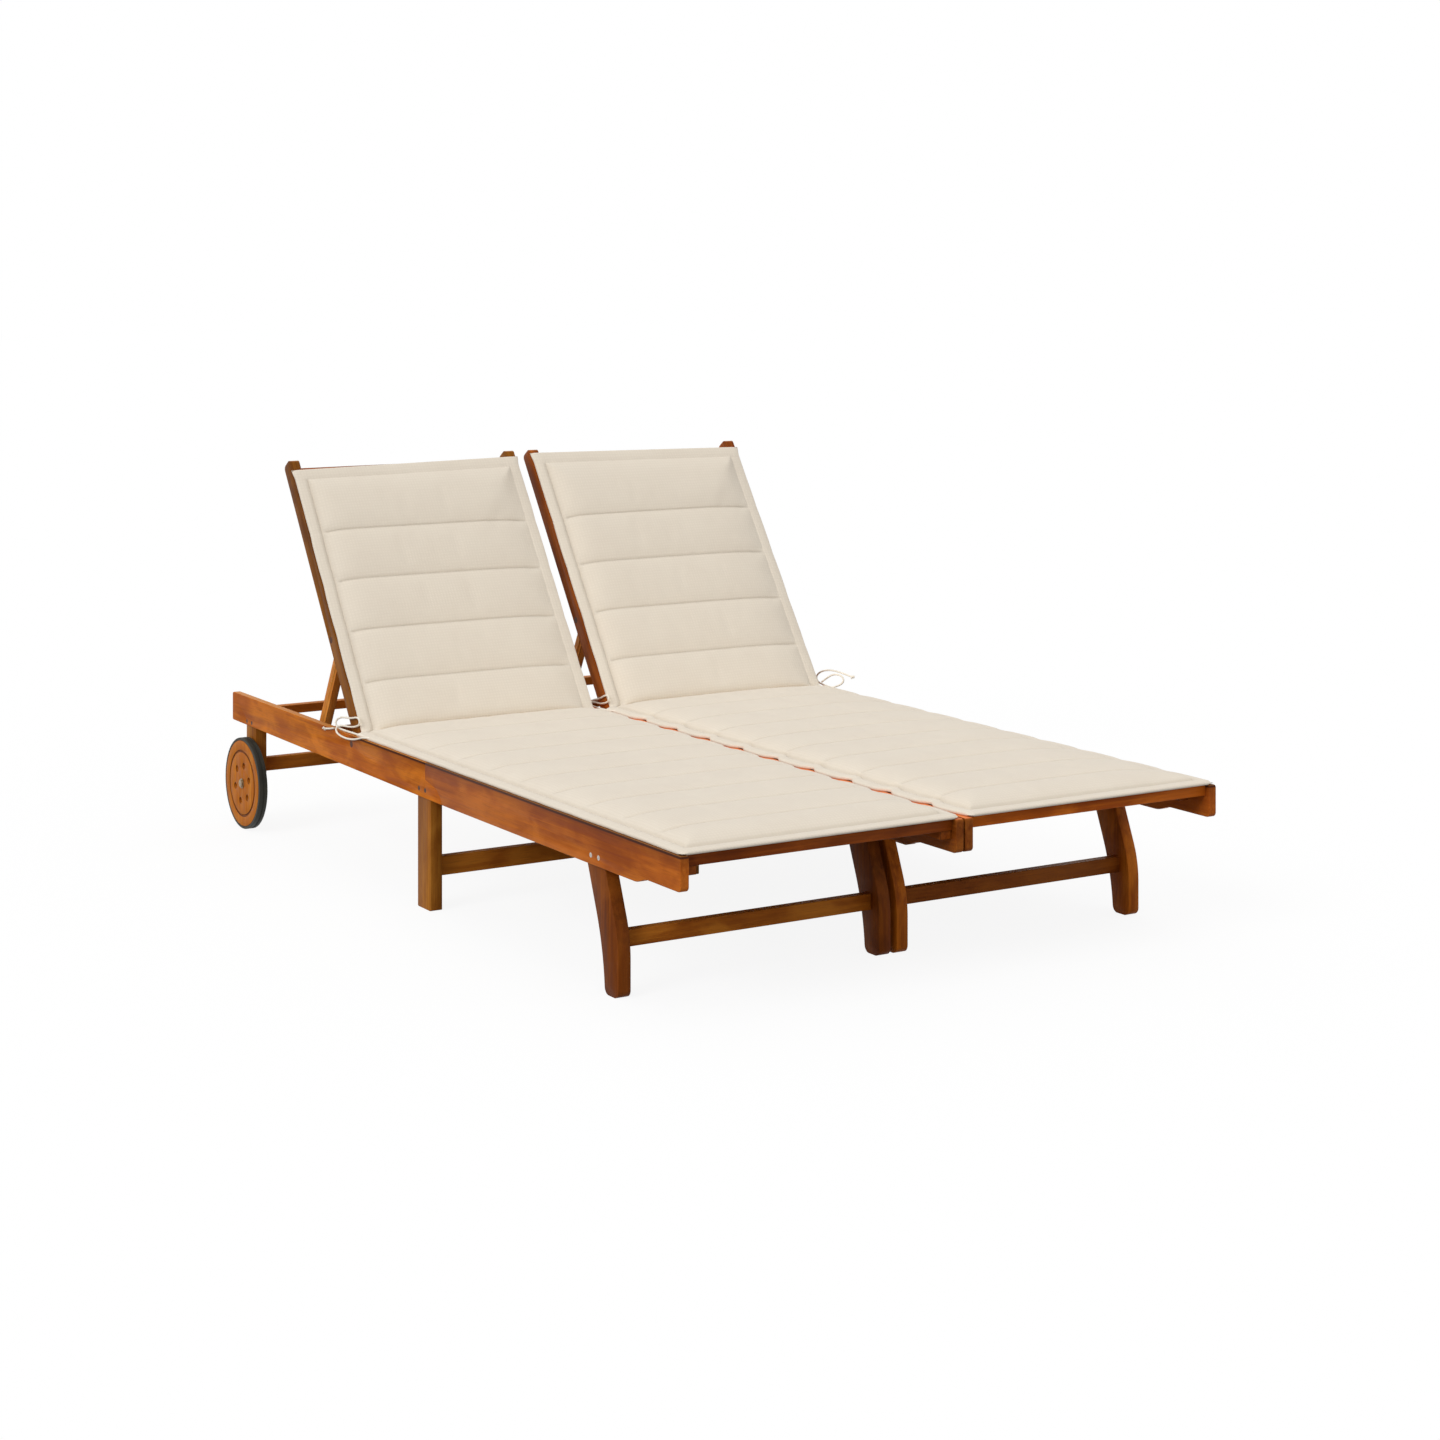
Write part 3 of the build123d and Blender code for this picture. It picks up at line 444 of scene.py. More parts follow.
# painted light: the prop arms stand in the backrest's shade and are given a much lighter tone in place of
# light
PROP_TONE = ((255, 182, 88), (240, 156, 60), (204, 118, 36))
SLAT_TONE = ((170, 92, 30), (140, 68, 15), (104, 46, 8))
SEAT_SLAT_PITCH, SEAT_SLAT_START = 0.075, -0.9535
BAR_TONE = ((214, 126, 42), (186, 100, 24), (142, 70, 11))
FOOT_TONES = {
    "left": ((164, 84, 24), (134, 62, 12), (100, 42, 7)),
    "right": ((226, 124, 34), (194, 96, 18), (146, 64, 8)),
}
INNER_TONE = ((166, 94, 30), (138, 68, 14), (98, 43, 6))
# painted light: the inner rails' tops, in the narrow slot between the two cushions, are painted bright orange
# as if lit
INNER_TOP = (242, 136, 76)
WHEEL_TONE = ((222, 142, 42), (206, 122, 28), (176, 94, 18))


def wood_of(node):
    """(tone, grain, rows of boards) of a wooden node, or None."""
    if node.endswith("front_rail"):
        return (INNER_TONE if "inner" in node else RAIL_TONE), "y", None
    if node.endswith("rear_rail"):
        return REAR_TONE, "y", None
    if node.endswith("_leg"):
        return (LEG_TONES[node.split("_")[0]] if "front" in node else MID_TONE), "z", None
    if node.endswith("stretcher"):
        return (DARK_BOARD_TONE if node == "right_front_stretcher" else BOARD_TONE), "x", None
    if node.endswith("_stile"):
        return STILE_TONES[node.split("_")[0]], "back", None
    if node.endswith("prop_arms"):
        return PROP_TONE, "prop", None
    if node.endswith("wheel_disc"):
        return WHEEL_TONE, "z", None
    if node.endswith("seat_slats"):
        return SLAT_TONE, "x", (1, SEAT_SLAT_PITCH, SEAT_SLAT_START)
    if node.endswith("back_slats"):
        return STILE_TONES["right"], "x", None
    if node.endswith(("head_rest_bar", "prop_bar")):
        return BAR_TONE, "x", None
    if node.endswith("foot_bar"):
        return FOOT_TONES[node.split("_")[0]], "x", None
    if node in ("seat_ledgers", "prop_racks"):
        return SLAT_TONE, "y", None
    return None


EDGE_ROUND = 0.0012
WELD_REACH = 0.00002
SCREW_SPLIT = -0.5


def smooth_shading(mesh):
    mesh.polygons.foreach_set("use_smooth", [True] * len(mesh.polygons))


def edge_work(node):
    """Rounds a board's edges a little, in modifiers alone. The rounding takes the second material."""
    weld = node.modifiers.new("weld", "WELD")
    weld.merge_threshold = WELD_REACH
    bevel = node.modifiers.new("bevel", "BEVEL")
    bevel.width = EDGE_ROUND
    bevel.segments = 2
    bevel.limit_method = "ANGLE"
    bevel.angle_limit = math.radians(40)
    bevel.harden_normals = True
    bevel.use_clamp_overlap = True
    bevel.material = 1
    smooth_shading(node.data)


def dress_nodes():
    steel = metal("steel", (92, 46, 20), (60, 30, 12), metallic=0.0, gloss=0.10)
    axle = metal("axle_steel", (186, 168, 138), (104, 86, 60), metallic=0.8)
    # the rounded edges take a little painted light where they look up, and the painted shadow under the
    # cushion's edge
    edges = wood("wood_edges", EDGE_TONE, "y", 90, painted_top_light=0.2, rail=True)
    # edges of the inner rails, with the bright painted light on their tops
    inner_edges = wood("inner_edges", REAR_TONE, "y", 91, painted_top_light=0.9, pale=INNER_TOP)
    screws = metal("screw_steel", (214, 210, 202), (160, 154, 144), split=SCREW_SPLIT)
    tyre = rubber("tyre_rubber")
    for number, (name, node) in enumerate(sorted(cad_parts.items())):
        found = wood_of(name)
        edge = None
        if found is not None:
            tone, way, boards = found
            look = {"boards": boards, "rail": name.endswith("_rail")}
            edge = edges
            # the inner rails take nearly all of the painted light on their tops
            if "inner" in name and name.endswith("_rail"):
                look = {"painted_top_light": 0.95, "pale": INNER_TOP}
                edge = inner_edges
            elif name.endswith("rear_rail"):
                # the rear rails take a large share of the painted light on their tops
                look = {"painted_top_light": 0.85, "rail": True}
            material = wood(f"wood_{name}", tone, way, number + 1, **look)
            edge_work(node)
        elif name.endswith("_tyre"):
            material = tyre
            smooth_shading(node.data)
        elif name == "frame_screws":
            material = screws
        elif name.endswith("axles"):
            material = axle
        elif name.endswith("bolts"):
            material = steel
        else:
            continue
        node.data.materials.clear()
        node.data.materials.append(material)
        if edge is not None:
            node.data.materials.append(edge)


# Dark joint between each rail's front and rear board, as seam points behind the mid leg's middle
MID_LEG_Y = 0.002
RAIL_FACES = (0.002, 0.592)
SEAM = ((0.014, 0.0), (0.014, 0.033), (0.057, 0.043))
SEAM_TOE = (0.090, 0.0715)
SEAM_WIDTH = 0.0026
SEAM_SINK = 0.0003
TOE_STEPS = 8
# so many points at the start of the route have a third of the width
TIGHT_POINTS = 2


def seam_route():
    """Y and Z along the joint: down from the rail's top, out to the shoulder, and round to the toe."""
    points = [Vector((MID_LEG_Y - back, RAIL_TOP - drop)) for back, drop in SEAM]
    shoulder = points[-1]
    toe = Vector((MID_LEG_Y - SEAM_TOE[0], RAIL_TOP - SEAM_TOE[1]))
    way = (shoulder - points[-2]).normalized()
    side = Vector((-way.y, way.x))
    chord = toe - shoulder
    radius = chord.length_squared / (2 * chord.dot(side))
    centre = shoulder + side * radius
    turn = 2 * math.atan2(chord.dot(side), chord.dot(way))
    for step in range(1, TOE_STEPS + 1):
        spin = Matrix.Rotation(turn * step / TOE_STEPS, 2)
        points.append(centre + spin @ (shoulder - centre))
    return points


def make_joints():
    """A thin dark strip just below each outer face, where two boards meet."""
    dark = Tree("joint_shadow")
    grime = dark.noise(dark.coords(), 300.0, 3.0)
    colour = dark.mix(dark.ramp(grime, 0.3, 0.7), srgb((46, 22, 8)), srgb((70, 34, 12)))
    finish = dark.finish(colour, 0.85, Specular_IOR_Level=0.1)
    route = seam_route()
    sides = []
    for i, point in enumerate(route):
        ahead = route[min(i + 1, len(route) - 1)] - route[max(i - 1, 0)]
        width = SEAM_WIDTH if i >= TIGHT_POINTS else SEAM_WIDTH / 3
        sides.append(Vector((-ahead.y, ahead.x)).normalized() * width / 2)
    points, faces = [], []
    for side in SIDES.values():
        for face, inward in zip(RAIL_FACES, (1, -1)):
            x = side * (face + inward * SEAM_SINK)
            for i, (point, out) in enumerate(zip(route, sides)):
                for way in (-1, 1):
                    y, z = point + out * way
                    points.append((x, y, min(z, RAIL_TOP - SEAM_SINK)))
                if i:
                    last = len(points) - 1
                    faces.append((last - 3, last - 2, last, last - 1))
    mesh = bpy.data.meshes.new("rail_joints")
    mesh.from_pydata(points, [], faces)
    mesh.update()
    joints = bpy.data.objects.new("rail_joints", mesh)
    bpy.context.collection.objects.link(joints)
    joints.data.materials.append(finish)
    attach(joints, "frame")


# Cushions. Heights count from the underside, and places along the cloth from the fold.
BORDER = 0.027
FLANGE = 0.0060
SEAM_HEIGHT = 0.0086
FULL = 0.0268
SEAT_PITCH = 0.1304
BACK_PITCH = 0.1215
FOLD_CORNER = PAD_RISE * math.tan(BACK_ANGLE / 2)
CORNER_Y = HINGE_Y - FOLD_CORNER
SEAT_REACH = CORNER_Y + 0.997
BACK_REACH = 0.645 - FOLD_CORNER
SEAT_CREASE = 0.0265
SEAT_HALF, BACK_HALF = 0.2945, 0.2765
TOP_FLARE, TOP_FLARE_REACH = 0.004, 0.024
MIDDLE_INSET = 0.2955
CORNER_ROUND = 0.014
RIM_ROUND = 0.0026
# how far the top edge is lifted at its left and right end
TOP_LIFTS = {"left": (0.003, 0.012), "right": (0.019, 0.009)}
# how far the seat's edges are drawn in at a channel, and its inner one more near the foot
DRAWS = {
    "left": {"outer": 0.0008, "inner": 0.0105, "foot": 0.004},
    "right": {"outer": 0.0060, "inner": 0.0150, "foot": 0.009},
}
# how far they are drawn in all along, and the back's edges at a channel
OUTER_LEAST, INNER_LEAST, BACK_DRAW = 0.0030, 0.0018, 0.0010
PULL_REACH = 0.021
# uneven edges: size, how often along the cloth, and what is added to the noise
RIPPLE, RIPPLE_RATE, RIPPLE_SHIFT = 0.0011, 9.0, 0.3
# how much of the drawing in is gone a fifth of the way to the middle
DRAW_SHARED = 0.999
# how much thinner the seat is near its outer edge
SEAT_THINNING = {"left": 0.0, "right": 0.0065}
# height at which the back's first panel starts behind the fold
FOLD_BACK = 0.012
SEAT_DIP, SEAT_DIP_REACH = 0.0175, 0.034
# how far a panel rises over, from the seam, and how much farther on the back's right
PANEL_RISE, GENTLE_RISE = 0.024, 0.022
# the back's first panel is round over so far, and a panel stands at least so much over its seam
FOLD_ROUND, LEAST_PANEL = 0.020, 0.0005
# how much lower the panels are near their channels, and over what reach
PANEL_SAG, PANEL_SAG_REACH = 0.0012, 0.042
BORDER_BULGE = 0.0012
# a channel's valley, and the stitched line in it, which is deeper on the seat
CHANNEL_DEPTH, CHANNEL_REACH = 0.0056, 0.0125
LINE_DEPTH, SEAT_LINE_DEPTH, LINE_REACH = 0.0008, 0.0006, 0.0030
# the seam round the panels, as a sharp and a soft valley
SHARP_SEAM, SHARP_REACH = 0.0016, 0.0022
SOFT_SEAM, SOFT_REACH = 0.0014, 0.0055
# small folds as height and rates of the noise across and along, and puckers beside the seam
BROAD_FOLDS = (0.0006, 11, 11)
LONG_FOLDS = (0.00035, 28, 9)
PUCKER, PUCKER_RATE, PUCKER_FADE, PUCKER_REACH = 0.0012, 95, 0.010, 0.03
# how far the fold's shifts fade out into the seat and into the back, and the top edge's lift
SEAT_FADE, BACK_FADE, LIFT_REACH = 0.07, 0.05, 0.11
# steps in from an edge, out from a channel and out from the fold; no two rows are nearer than the least
EDGE_STEPS = (
    0.0004, 0.0012, 0.0026, 0.006, 0.012, 0.018, 0.0235, 0.0258, 0.027, 0.0282, 0.0305, 0.034, 0.039, 0.044,
)
END_STEPS = (*EDGE_STEPS, 0.051, 0.060, 0.072)
SIDE_STEPS = (0.0, *EDGE_STEPS, 0.050, 0.058, 0.068, 0.080, 0.095)
CHANNEL_STEPS = (0.0006, 0.0014, 0.0024, 0.0038, 0.006, 0.009, 0.014, 0.021, 0.030, 0.042, 0.055)
FOLD_STEPS = (0.001, 0.0025, 0.005, 0.009, 0.015, 0.023, 0.034, 0.048)
COLUMN_STEP, LAST_COLUMN_STEP = 0.010, 0.280
LEAST_STEP = 0.00035
LOWER_SHEET_SHIFT = 3
# Cloth pass. The mean over a square window of grid points is its broad swelling, which is left out.
CLOTH_GRID = 0.0085
CLOTH_FRAMES = 20
FOLD_SHARE = 0.3
FOLD_LIMIT = 0.0015
FOLD_WINDOW = 7


def smooth(a, b, x):
    t = np.clip((x - a) / (b - a), 0, 1)
    return t * t * (3 - 2 * t)


def cushion_rows():
    """Places along the cushion from the fold, foot side below nought, and the channels among them."""
    seat = [-(SEAT_CREASE + SEAT_PITCH * k) for k in range(1, 10)]
    back = [BACK_PITCH * k - FOLD_CORNER for k in range(1, 5)]
    channels = sorted([*seat, *back])
    rows = {0.0, -SEAT_REACH, BACK_REACH}
    for place in channels:
        rows.add(place)
        rows.update(place + way * step for step in CHANNEL_STEPS for way in (-1, 1))
    for end, way in ((-SEAT_REACH, 1), (BACK_REACH, -1)):
        rows.update(end + way * step for step in END_STEPS)
    rows.update(way * step for step in FOLD_STEPS for way in (-1, 1))
    rows = sorted(row for row in rows if -SEAT_REACH <= row <= BACK_REACH)
    kept = [rows[0]]
    for row in rows[1:]:
        if row - kept[-1] > LEAST_STEP:
            kept.append(row)
    return np.array(kept), channels


def cushion_columns():
    """Places across as distances in from the edge, to the middle."""
    steps = list(SIDE_STEPS)
    while steps[-1] < LAST_COLUMN_STEP:
        steps.append(steps[-1] + COLUMN_STEP)
    steps.append(MIDDLE_INSET)
    return np.array(steps)


def quarter_round(share):
    """Height of a quarter circle of size 1, a share of the way along its foot."""
    return np.sqrt(np.clip(1 - (1 - np.clip(share, 0, 1)) ** 2, 0, 1))


def channel_pull(q, channels, reach):
    """1 on a channel, falling to nought within reach of it."""
    pull = np.zeros_like(q)
    for place in channels:
        pull = np.maximum(pull, np.exp(-(((q - place) / reach) ** 2)))
    return pull


def channel_cusp(q, channels, reach):
    """1 on a channel, falling to nought on both sides of it with a sharp valley between."""
    away = np.min([np.abs(q - place) for place in channels], axis=0)
    return np.exp(-away / reach)


def thinned(places, keep, least):
    """Numbers of places at least so far apart. One to keep pushes out others close before it."""
    found = [0]
    close = 0.6 * least
    for i in range(1, len(places)):
        if keep[i]:
            while len(found) > 1 and not keep[found[-1]] and places[i] - places[found[-1]] < close:
                found.pop()
            found.append(i)
        elif places[i] - places[found[-1]] >= least:
            found.append(i)
    return np.array(found)


def curve_through(places, known, values):
    """A smooth curve through values at known places, along the first axis."""
    slopes = np.gradient(values, known, axis=0)
    i = np.clip(np.searchsorted(known, places) - 1, 0, len(known) - 2)
    step = (known[i + 1] - known[i])[:, None]
    t = ((places - known[i]) / step[:, 0])[:, None]
    low = (2 * t**3 - 3 * t**2 + 1) * values[i] + (t**3 - 2 * t**2 + t) * step * slopes[i]
    high = (3 * t**2 - 2 * t**3) * values[i + 1] + (t**3 - t**2) * step * slopes[i + 1]
    return low + high


def blown_folds(rows, across, x, height, held):
    """Folds that the panels' sheet takes when it is held at its seams and blown up as cloth."""
    keep_row = held[:, held.shape[1] // 2]
    keep_column = held[held.shape[0] // 2]
    edge = np.diff(keep_column.astype(int), prepend=0, append=0) != 0
    some = thinned(rows, keep_row & (np.abs(rows) > 0), CLOTH_GRID)
    others = thinned(across, edge[:-1] | edge[1:], CLOTH_GRID)
    grid = np.ix_(some, others)
    start = np.stack([x[grid], np.broadcast_to(rows[some][:, None], x[grid].shape), height[grid]], -1)
    nr, nc = start.shape[:2]
    faces = [
        (i * nc + j, i * nc + j + 1, (i + 1) * nc + j + 1, (i + 1) * nc + j)
        for i in range(nr - 1) for j in range(nc - 1)
    ]
    mesh = bpy.data.meshes.new("sheet")
    mesh.from_pydata(start.reshape(-1, 3).tolist(), [], faces)
    sheet = bpy.data.objects.new("sheet", mesh)
    bpy.context.collection.objects.link(sheet)
    sewn = sheet.vertex_groups.new(name="sewn")
    sewn.add([int(v) for v in np.flatnonzero(held[grid].ravel())], 1.0, "REPLACE")
    cloth = sheet.modifiers.new("cloth", "CLOTH")
    cloth.settings.quality = 6
    cloth.settings.mass = 0.3
    cloth.settings.bending_stiffness = 0.3
    cloth.settings.shrink_min = -0.010
    cloth.settings.use_pressure = True
    cloth.settings.uniform_pressure_force = 4
    cloth.settings.effector_weights.gravity = 0
    cloth.settings.vertex_group_mass = "sewn"
    cloth.point_cache.frame_start = 1
    cloth.point_cache.frame_end = CLOTH_FRAMES
    scene = bpy.context.scene
    for number in range(1, CLOTH_FRAMES + 1):
        scene.frame_set(number)
    shaped = sheet.evaluated_get(bpy.context.evaluated_depsgraph_get()).data
    ended = np.empty(nr * nc * 3, np.float32)
    shaped.vertices.foreach_get("co", ended)
    lift = ended.reshape(nr, nc, 3)[..., 2] - start[..., 2]
    bpy.data.objects.remove(sheet)
    bpy.data.meshes.remove(mesh)
    scene.frame_set(1)
    # the drawn form has its own swelling, so only the folds are kept
    padded = np.pad(lift, FOLD_WINDOW // 2, mode="edge")
    window = [(i, j) for i in range(FOLD_WINDOW) for j in range(FOLD_WINDOW)]
    broad = sum(padded[i:i + nr, j:j + nc] for i, j in window) / len(window)
    folds = np.clip(FOLD_SHARE * (lift - broad), -FOLD_LIMIT, FOLD_LIMIT) * ~held[grid]
    full = curve_through(rows, rows[some], folds)
    return curve_through(across, across[others], full.T).T


class Cushion:
    """A cushion's grid: q along the cloth, d in from the nearer side, w -1 on the left and 1 on the right."""

    def __init__(self, side_name, side, seed):
        self.side_name, self.side, self.seed = side_name, side, seed
        self.rows, self.channels = cushion_rows()
        steps = cushion_columns()
        count = len(steps)
        self.inset = np.concatenate([steps, steps[-2::-1]])
        self.way = np.concatenate([-np.ones(count), np.ones(count - 1)])
        self.q, self.d = np.meshgrid(self.rows, self.inset, indexing="ij")
        self.w = np.broadcast_to(self.way, self.q.shape)
        # distances in from the ends, and from the whole outline with its rounded corners
        self.end = np.minimum(self.q + SEAT_REACH, BACK_REACH - self.q)
        both = (self.d < CORNER_ROUND) & (self.end < CORNER_ROUND)
        rounded = CORNER_ROUND - np.hypot(CORNER_ROUND - self.d, CORNER_ROUND - self.end)
        self.inner = np.where(both, rounded, np.minimum(self.d, self.end))
        self.on_back = smooth(0.0, 0.03, self.q)
        self.x, self.half = self.outline()

    def outline(self):
        """How far across from the middle each point lies, and half the width of its row."""
        half = SEAT_HALF + (BACK_HALF - SEAT_HALF) * smooth(-0.012, 0.007, self.q)
        half = half + TOP_FLARE * smooth(BACK_REACH - TOP_FLARE_REACH, BACK_REACH, self.q)
        ripple = np.zeros_like(self.q)
        for i, row in enumerate(self.rows):
            for sign in (-1.0, 1.0):
                place = Vector((row * RIPPLE_RATE, sign * 3.1 + self.seed * 5.7, 0.3))
                ripple[i][self.w[i] == sign] = noise.noise(place)
        # the seat's edges are drawn in at each channel
        pull = channel_pull(self.q, self.channels, PULL_REACH)
        on_seat = 1 - smooth(-0.03, 0.01, self.q)
        draw = DRAWS[self.side_name]
        foot = draw["foot"] * smooth(0.075, 0.0, self.q + SEAT_REACH)
        outer_edge = OUTER_LEAST + draw["outer"] * pull
        inner_edge = INNER_LEAST + draw["inner"] * pull + foot
        drawn = np.where(self.w == self.side, outer_edge, inner_edge) * on_seat
        drawn = drawn + BACK_DRAW * pull * (1 - on_seat) + RIPPLE * (ripple + RIPPLE_SHIFT)
        # insets keep their size near the edge and share out the rest
        flat = np.minimum(self.d, MIDDLE_INSET)
        share = flat / MIDDLE_INSET
        narrowed = flat * (1 + (half / MIDDLE_INSET - 1) * share)
        x = half - drawn - narrowed + drawn * smooth(0.0, 0.2, share) * DRAW_SHARED
        x = np.where(flat >= MIDDLE_INSET, 0.0, np.maximum(x, 0.0))
        return x * self.w, half

    def panels(self):
        """Height of the panels and the border, before channels and seams, and how far a panel has risen."""
        q, d, w = self.q, self.d, self.w
        # the back's panels slope gently to their right side
        gentle = GENTLE_RISE * (w > 0) * self.on_back * smooth(0.0, 0.05, self.end - d)
        puff = 1 - np.exp(-np.clip((self.inner - BORDER) / (PANEL_RISE + gentle), 0, None))
        near_channel = channel_pull(q, self.channels, PANEL_SAG_REACH)
        full = FULL - PANEL_SAG * near_channel * smooth(BORDER - 0.001, BORDER + 0.010, d)
        # the seat's last panel slopes down to the fold, and the back's first stands round on it
        full = full - SEAT_DIP * np.exp(-np.clip(-q, 0, None) / SEAT_DIP_REACH) * (q <= 0)
        thinning = SEAT_THINNING[self.side_name]
        full = full - thinning * smooth(0.20, 0.03, d) * (w == self.side) * smooth(0.02, -0.08, q)
        full = np.where(q > 0, FOLD_BACK + (full - FOLD_BACK) * quarter_round(q / FOLD_ROUND), full)
        full = np.maximum(full, SEAM_HEIGHT + LEAST_PANEL)
        border = np.clip(self.inner / BORDER, 0, 1)
        height = FLANGE + (SEAM_HEIGHT - FLANGE) * border**1.3 + (full - SEAM_HEIGHT) * puff
        # the border is softly rounded between its edge and the seam
        return height + BORDER_BULGE * np.sin(np.pi * border) * (self.inner < BORDER), puff

    def sewn(self, height, puff):
        """The height with its channels and its seam, and how near each point is to one of them."""
        q, d, w = self.q, self.d, self.w
        # channels fade out towards the seat's sides, and reach the border at the right seat's outer
        # side and on the back's left; on the back's right they run over it
        fading = smooth(BORDER + 0.002, BORDER + 0.030, d)
        reaching = smooth(BORDER + 0.001, BORDER + 0.012, d)
        crossing = smooth(BORDER - 0.014, BORDER + 0.010, d)
        on_seat = np.where((w == self.side) & (self.side > 0), reaching, fading)
        ends_in = np.where(q < 0, on_seat, np.where(w < 0, reaching, crossing))
        line = channel_pull(q, self.channels, LINE_REACH)
        valley = channel_cusp(q, self.channels, CHANNEL_REACH) * np.clip(puff * 2.5, 0, 1)
        line_depth = LINE_DEPTH + SEAT_LINE_DEPTH * (q < 0)
        height = height - (line_depth * line + CHANNEL_DEPTH * valley) * ends_in
        # the seam is weakest along the top and on the back's right side
        at_top = smooth(0.006, 0.0, (BACK_REACH - q) - d)
        strength = 1 - np.maximum(0.8 * at_top, 0.9 * (w > 0) * self.on_back)
        seam_line = np.exp(-(((self.inner - BORDER) / SHARP_REACH) ** 2)) * strength
        seam_soft = np.exp(-(((self.inner - BORDER) / SOFT_REACH) ** 2)) * strength
        height = height - SHARP_SEAM * seam_line - SOFT_SEAM * seam_soft
        return height, np.clip(np.maximum(seam_soft, line * ends_in), 0, 1)

    def small_folds(self):
        """Small folds all over, and puckers beside the seam round the panels."""
        fold = np.zeros_like(self.q)
        for i in range(len(self.rows)):
            for j in range(len(self.inset)):
                px, pq = self.x[i, j], self.q[i, j]
                size, across, along = BROAD_FOLDS
                value = noise.noise(Vector((px * across, pq * along, self.seed * 3.0))) * size
                size, across, along = LONG_FOLDS
                value += noise.noise(Vector((px * across, pq * along, 4.0 + self.seed))) * size
                off_seam = abs(self.inner[i, j] - BORDER)
                if off_seam < PUCKER_REACH:
                    place = pq if self.d[i, j] <= self.end[i, j] else px
                    pucker = noise.noise(Vector((place * PUCKER_RATE, 2.0 + self.w[i, j], self.seed)))
                    value += pucker * PUCKER * math.exp(-off_seam / PUCKER_FADE)
                fold[i, j] = value
        return fold * smooth(0.0, 0.012, self.inner)

    def cloth_folds(self, height):
        """Folds from the cloth pass, whose sheet is held on the border, the channels and the fold."""
        away = np.min([np.abs(self.q - place) for place in self.channels], axis=0)
        on_channel = (away < 0.0002) & (self.d > BORDER + 0.008)
        held = (self.inner < BORDER + 0.0005) | on_channel | (np.abs(self.q) < 0.0002)
        across = self.way * (MIDDLE_INSET - self.inset)
        return blown_folds(self.rows, across, self.x, height, held)

    def stand(self, height, t_shift, y_shift):
        """Y and Z of a sheet of the given height, with the shifts that close its fold."""
        q = self.q
        ca, sa = math.cos(BACK_ANGLE), math.sin(BACK_ANGLE)
        # the top edge lies a little askew
        low_lift, high_lift = TOP_LIFTS[self.side_name]
        lift = low_lift + (high_lift - low_lift) * (self.x / self.half + 1) / 2
        lift = lift * smooth(BACK_REACH - LIFT_REACH, BACK_REACH, q)
        seat_y = CORNER_Y + q - y_shift * np.exp(np.clip(q, None, 0) / SEAT_FADE)
        seat_z = HINGE_Z + PAD_RISE + height
        t = FOLD_CORNER + q - t_shift * np.exp(-np.clip(q, 0, None) / BACK_FADE) + lift
        back_y = HINGE_Y + t * ca - (PAD_RISE + height) * sa
        back_z = HINGE_Z + t * sa + (PAD_RISE + height) * ca
        return np.where(q > 0, back_y, seat_y), np.where(q > 0, back_z, seat_z)

    def stand_top(self, top):
        """Y and Z of the upper sheet, where the seat's and the back's heights meet in a crease."""
        ca, sa = math.cos(BACK_ANGLE), math.sin(BACK_ANGLE)
        at_fold = int(np.argmin(np.abs(self.rows)))
        seat_h = np.maximum(top[at_fold], 0.001)
        back_h = np.clip(top[at_fold + 1], 0.001, FOLD_BACK)
        t_crease = (PAD_RISE * (1 - ca) + seat_h - back_h * ca) / sa
        y_crease = HINGE_Y + t_crease * ca - (PAD_RISE + back_h) * sa
        return self.stand(top, (FOLD_CORNER - t_crease)[None, :], (CORNER_Y - y_crease)[None, :])

    def mesh(self):
        """Upper and lower sheet, joined along the outline, with the attributes that canvas reads."""
        height, puff = self.panels()
        height, near_seam = self.sewn(height, puff)
        height = height + self.small_folds()
        height = height + self.cloth_folds(height)
        curve = quarter_round(self.inner / RIM_ROUND)
        top = FLANGE * 0.5 + (height - FLANGE * 0.5) * curve
        low = FLANGE * 0.5 * (1 - curve)
        x = self.x + self.side * MIDDLE
        sheets = (np.stack([x, *self.stand_top(top)], -1), np.stack([x, *self.stand(low, 0.0, 0.0)], -1))
        points = np.concatenate([sheet.reshape(-1, 3) for sheet in sheets])

        nr, nc = self.q.shape
        index = np.arange(nr * nc).reshape(nr, nc)
        low_index = index + nr * nc
        for rim in (np.s_[[0, -1], :], np.s_[:, [0, -1]]):
            low_index[rim] = index[rim]
        faces = []
        for i in range(nr - 1):
            for j in range(nc - 1):
                upper = ((i, j), (i, j + 1), (i + 1, j + 1), (i + 1, j))
                lower = ((i, j), (i + 1, j), (i + 1, j + 1), (i, j + 1))
                faces.append([index[place] for place in upper])
                faces.append([low_index[place] for place in lower])
        used, faces = np.unique(np.array(faces), return_inverse=True)
        mesh = bpy.data.meshes.new(f"{self.side_name}_cushion")
        mesh.from_pydata(points[used].tolist(), [], faces.reshape(-1, 4).tolist())

        # the lower sheet lies beside the upper one on the cloth
        cloth_x = np.concatenate([self.x.ravel(), self.x.ravel() + LOWER_SHEET_SHIFT])
        cloth_q = np.concatenate([self.q.ravel()] * 2)
        cloth = np.stack([cloth_x, cloth_q, np.zeros(len(cloth_x))], -1)
        attribute = mesh.attributes.new("cloth", "FLOAT_VECTOR", "POINT")
        attribute.data.foreach_set("vector", cloth[used].ravel().astype(np.float32))
        # how near a point is to a seam or channel, for the canvas's painted shade; the lower sheet has none
        shade = np.concatenate([near_seam.ravel(), np.zeros(self.q.size)])
        attribute = mesh.attributes.new("seam", "FLOAT", "POINT")
        attribute.data.foreach_set("value", shade[used].astype(np.float32))
        smooth_shading(mesh)
        mesh.update()
        return mesh


